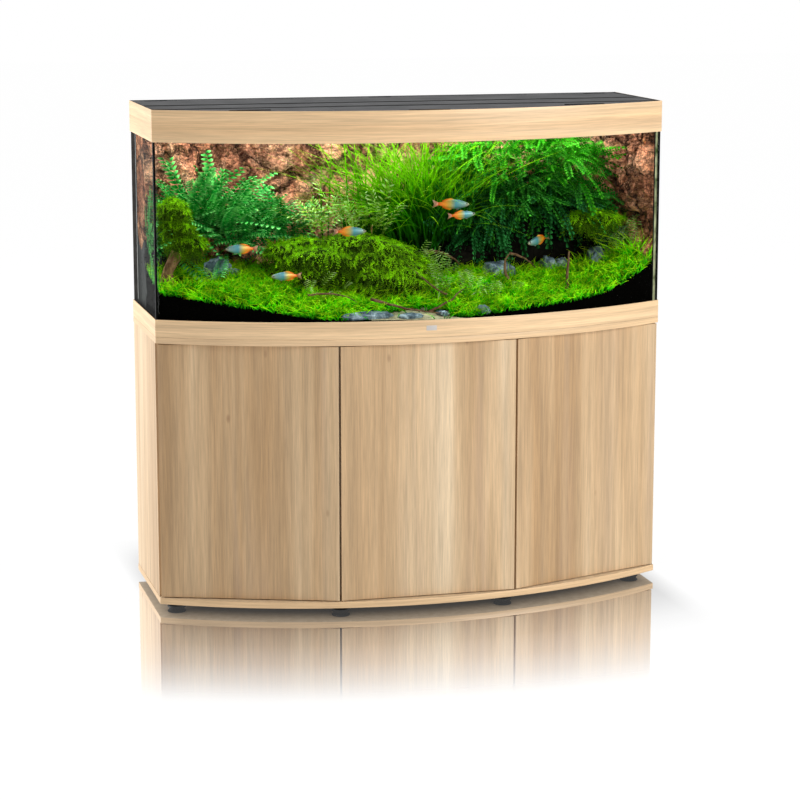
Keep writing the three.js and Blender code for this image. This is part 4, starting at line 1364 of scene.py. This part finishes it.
def lumpy_ball(name, centre, radii, seed, rough, material, subdivisions=5, stretch=3.0):
    """Rounded solid swollen by the same knots as the driftwood and roughened by noise."""
    bm = bmesh.new()
    bmesh.ops.create_icosphere(bm, subdivisions=subdivisions, radius=1.0)
    for vert in bm.verts:
        x, y, z = vert.co
        knot = 1 + 0.12 * math.sin(5 * x + 2) * math.cos(4 * y) + 0.08 * math.sin(7 * z + 3 * x)
        swell = noise.fractal(vert.co * stretch + Vector((seed, seed, 0)), 0.8, 2.1, 5)
        vert.co *= knot + rough * swell
    bm.transform(Matrix.Translation(centre) @ Matrix.Diagonal((*radii, 1.0)))
    return finish_piece(from_bmesh(name, bm, material, sharp=80.0))


def add_mossy_wood():
    rng = np.random.default_rng(71)
    # Lit and shaded copies of one moss: painted light on top, painted shade on the sides and underside.
    tones = {
        "top": ("moss_painted_light", (0.010, 0.030, 0.000), (0.200, 0.640, 0.001), (0.600, 1.000, 0.008)),
        "side": ("moss_painted_shade", (0.004, 0.010, 0.000), (0.036, 0.100, 0.001), (0.180, 0.360, 0.005)),
    }
    moss = {part: leaf(*tone, patch=30.0, rough=0.7) for part, tone in tones.items()}
    # Near-black bark under the moss: painted shade between and below the sprigs.
    under = bark("mossy_bark_painted_shade", (0.005, 0.010, 0.001), (0.030, 0.055, 0.002))
    low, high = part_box("driftwood")
    middle = ((low.x + high.x) / 2, (low.y + high.y) / 2, 0.975)
    mossy = (
        ("log", middle, (0.222, 0.078, 0.080), 2.0, 5, 4600),
        ("log_front", (-0.075, -0.105, 0.930), (0.110, 0.050, 0.050), 6.0, 4, 1700),
        ("log_shoulder", (-0.310, -0.010, 1.015), (0.105, 0.060, 0.036), 8.0, 4, 1500),
        ("stump_top", (-0.684, 0.000, 1.142), (0.042, 0.040, 0.034), 9.0, 4, 1300),
        ("stump_middle", (-0.674, 0.000, 1.094), (0.044, 0.042, 0.036), 10.0, 4, 1300),
        ("stump_skirt", (-0.646, -0.005, 1.050), (0.054, 0.045, 0.030), 11.0, 4, 1300),
        ("branch", (0.585, 0.010, 1.085), (0.085, 0.035, 0.022), 21.0, 4, 1000),
    )
    for name, place, radii, seed, subdivisions, count in mossy:
        base = lumpy_ball(f"mossy_{name}", place, radii, seed, 0.10, under, subdivisions)
        sizes = (0.010, 0.021) if "stump" in name else (0.013, 0.028)
        moss_over(f"moss_on_{name}", base, moss, rng, int(1.7 * count), sizes)
        if name == "log":
            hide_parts("driftwood")

    wood = bark("stump_bark", (0.060, 0.028, 0.012), (0.300, 0.170, 0.080))
    points = [(-0.712, -0.020, 0.915), (-0.700, -0.012, 0.975), (-0.668, 0.0, 1.030), (-0.655, 0.0, 1.090)]
    finish_piece(tube("stump_foot", points, (0.026, 0.015, 0.018, 0.030), wood, sides=20))

    # Near-black lumps that stand in for the shade in the hollow under the bush and among the plants.
    core = bark("painted_shade_wood", (0.002, 0.002, 0.0015), (0.012, 0.010, 0.007))
    dark = (
        ((0.330, 0.140, 1.030), (0.190, 0.060, 0.120)),
        ((0.520, 0.140, 1.050), (0.160, 0.060, 0.115)),
        ((0.140, 0.040, 0.985), (0.120, 0.040, 0.034)),
    )
    for number, (place, radii) in enumerate(dark):
        lumpy_ball(f"painted_shade_wood_{number}", place, radii, 15.0 + number, 0.22, core, 4, 2.0)


def add_twigs():
    wood = bark("twig_bark", (0.045, 0.020, 0.010), (0.260, 0.150, 0.080))
    twigs = (
        ((0.449, -0.150, 0.845), (0.452, -0.150, 0.930), (0.462, -0.140, 1.010), 0.0065),
        ((0.285, -0.110, 0.930), (0.262, -0.100, 0.985), (0.300, -0.080, 1.000), 0.0045),
        ((0.300, -0.080, 1.000), (0.350, -0.070, 0.992), (0.380, -0.070, 0.955), 0.0036),
        ((-0.160, -0.235, 0.905), (-0.060, -0.262, 0.872), (0.040, -0.270, 0.862), 0.0040),
        ((0.010, -0.235, 0.862), (0.075, -0.225, 0.885), (0.130, -0.200, 0.925), 0.0034),
        ((0.080, -0.180, 0.900), (0.000, -0.150, 0.950), (-0.020, -0.120, 0.985), 0.0030),
        ((-0.330, -0.180, 0.915), (-0.230, -0.190, 0.925), (-0.190, -0.200, 0.890), 0.0032),
        ((0.060, 0.0, 1.000), (0.120, -0.020, 1.015), (0.160, -0.030, 0.965), 0.0055),
        ((0.000, 0.090, 1.080), (-0.030, 0.060, 1.160), (-0.045, 0.040, 1.215), 0.0060),
    )
    for number, (start, middle, end, radius) in enumerate(twigs):
        a, b, c = Vector(start), Vector(middle), Vector(end)
        points, radii = [], []
        for k in range(13):
            t = k / 12
            point = a * (1 - t) ** 2 + b * (2 * t * (1 - t)) + c * t**2
            points.append(point + 0.004 * noise_shift(point * 40))
            radii.append(radius * (1.15 - 0.8 * t))
        finish_piece(tube(f"twig_{number}", points, radii, wood, sides=10))


# ------------------------------------------------------------------ fish
def add_fish(name, nose, heading, length, tilt, skin, eye):
    """Slim fish from cross-sections, with tail, back, rear belly and front belly fins."""
    sections = (
        (0.00, 0.008, 0.006),
        (0.05, 0.044, 0.030),
        (0.14, 0.080, 0.050),
        (0.28, 0.116, 0.062),
        (0.42, 0.128, 0.062),
        (0.56, 0.112, 0.050),
        (0.68, 0.080, 0.034),
        (0.78, 0.048, 0.018),
        (0.84, 0.036, 0.010),
    )
    sides = 18
    verts, uvs = [], []
    for along, tall, wide in sections:
        for k in range(sides):
            angle = 2 * math.pi * k / sides
            verts.append((along, wide * math.cos(angle), tall * math.sin(angle)))
            uvs.append((along, 0.5 + 0.5 * math.sin(angle)))
    faces = capped_faces(len(sections), sides)
    fins = (
        ((0.80, 0.028), (1.00, 0.110), (0.950, 0.0), (1.00, -0.110), (0.80, -0.028)),
        ((0.40, 0.122), (0.50, 0.160), (0.62, 0.135), (0.74, 0.085), (0.70, 0.062)),
        ((0.44, -0.122), (0.54, -0.155), (0.66, -0.128), (0.74, -0.080), (0.70, -0.066)),
        ((0.26, -0.110), (0.33, -0.155), (0.37, -0.118)),
    )
    for outline in fins:
        first = len(verts)
        for side in (-0.004, 0.004):
            verts += [(x, side, z) for x, z in outline]
            uvs += [(min(1.0, x + 0.12), 0.45) for x, _ in outline]
        count = len(outline)
        faces.append(tuple(first + k for k in range(count)))
        faces.append(tuple(first + count + k for k in range(count))[::-1])
        for k in range(count):
            n = (k + 1) % count
            faces.append((first + k, first + count + k, first + count + n, first + n))
    turn = Matrix.Rotation(heading, 4, "Z") @ Matrix.Rotation(tilt, 4, "Y")
    place = Matrix.Translation(nose) @ turn @ Matrix.Scale(length, 4)
    verts = [place @ Vector(v) for v in verts]
    mesh = bpy.data.meshes.new(name)
    mesh.from_pydata([tuple(v) for v in verts], [], faces)
    layer = mesh.uv_layers.new(name="UVMap")
    for loop in mesh.loops:
        layer.data[loop.index].uv = uvs[loop.vertex_index]
    mesh.shade_smooth()
    finish_piece(to_object(name, mesh, (skin,), None))
    profile = [(0.0, -0.012), (0.016, -0.006), (0.020, 0.0), (0.014, 0.008), (0.0, 0.011)]
    for end, side in (("left", -1), ("right", 1)):
        globe = lathe(f"{name}_eye_{end}", profile, (0, 0, 0), eye, axis="y", steps=16)
        globe.data.transform(place @ Matrix.Translation((0.075, 0.040 * side, 0.022)))
        finish_piece(globe)


def add_all_fish():
    skin, eye = fish_skin(), plain_eye()
    shoal = (
        ((-0.551, -0.10, 1.043), 0.06, 0.098, 0.02),
        ((-0.429, -0.15, 0.967), 0.10, 0.092, 0.01),
        ((-0.139, -0.10, 1.082), math.pi + 0.05, 0.100, -0.02),
        ((0.181, -0.06, 1.146), math.pi - 0.10, 0.110, -0.03),
        ((0.196, -0.07, 1.119), math.pi + 0.12, 0.088, 0.03),
        ((0.361, -0.06, 1.024), 0.55, 0.098, -0.16),
    )
    for number, (nose, heading, length, tilt) in enumerate(shoal):
        add_fish(f"fish_{number}", nose, heading, length, tilt, skin, eye)


# ------------------------------------------------------------------ everything together
def build():
    # The rail's oak is a lighter, flatter copy of the door oak: painted light for the brighter bands.
    rail = oak("oak_rail", "xy", (0.2, 0.4, 0.7), 1.28, 0.45)
    board = carcass_board()
    black = moulded_plastic("black_hood_plastic", (0.016, 0.016, 0.017), 0.42)
    lid = moulded_plastic("lid_plastic", (0.065, 0.066, 0.068), 0.7, gloss=0.2)
    dress_carcass(board)
    dress_fittings()
    add_boards(board, rail)
    add_feet()
    add_frames(rail, black)
    add_blank_plate()
    # Black sealant, also used as painted shade on the filter's rock.
    sealant_and_shade = moulded_plastic("black_silicone_and_painted_shade", (0.004, 0.004, 0.004), 0.6, 300.0, 0.1, 0.1)
    # Pane ends: a painted view through the glass, and one with a painted glow.
    edge_painted_view = glass_edge("glass_edge_painted_view", (0.040, 0.032, 0.028), (0.095, 0.080, 0.070))
    end_painted_glow = glass_edge("glass_end_painted_glow", (0.045, 0.075, 0.018), (0.420, 0.430, 0.250), 0.6)
    add_glass(edge_painted_view, sealant_and_shade, end_painted_glow)
    add_silicone(sealant_and_shade)
    add_water()
    dress_hood(lid)
    add_light_tubes(black)
    dress_filter(black)
    add_soil()
    add_rocks(sealant_and_shade)
    add_stones()
    add_mossy_wood()
    add_twigs()
    add_lawn()
    add_left_ferns()
    add_right_bush()
    add_long_grass()
    add_stem_plants()
    add_all_fish()
    add_studio()
    add_floor()
    add_camera()


build()
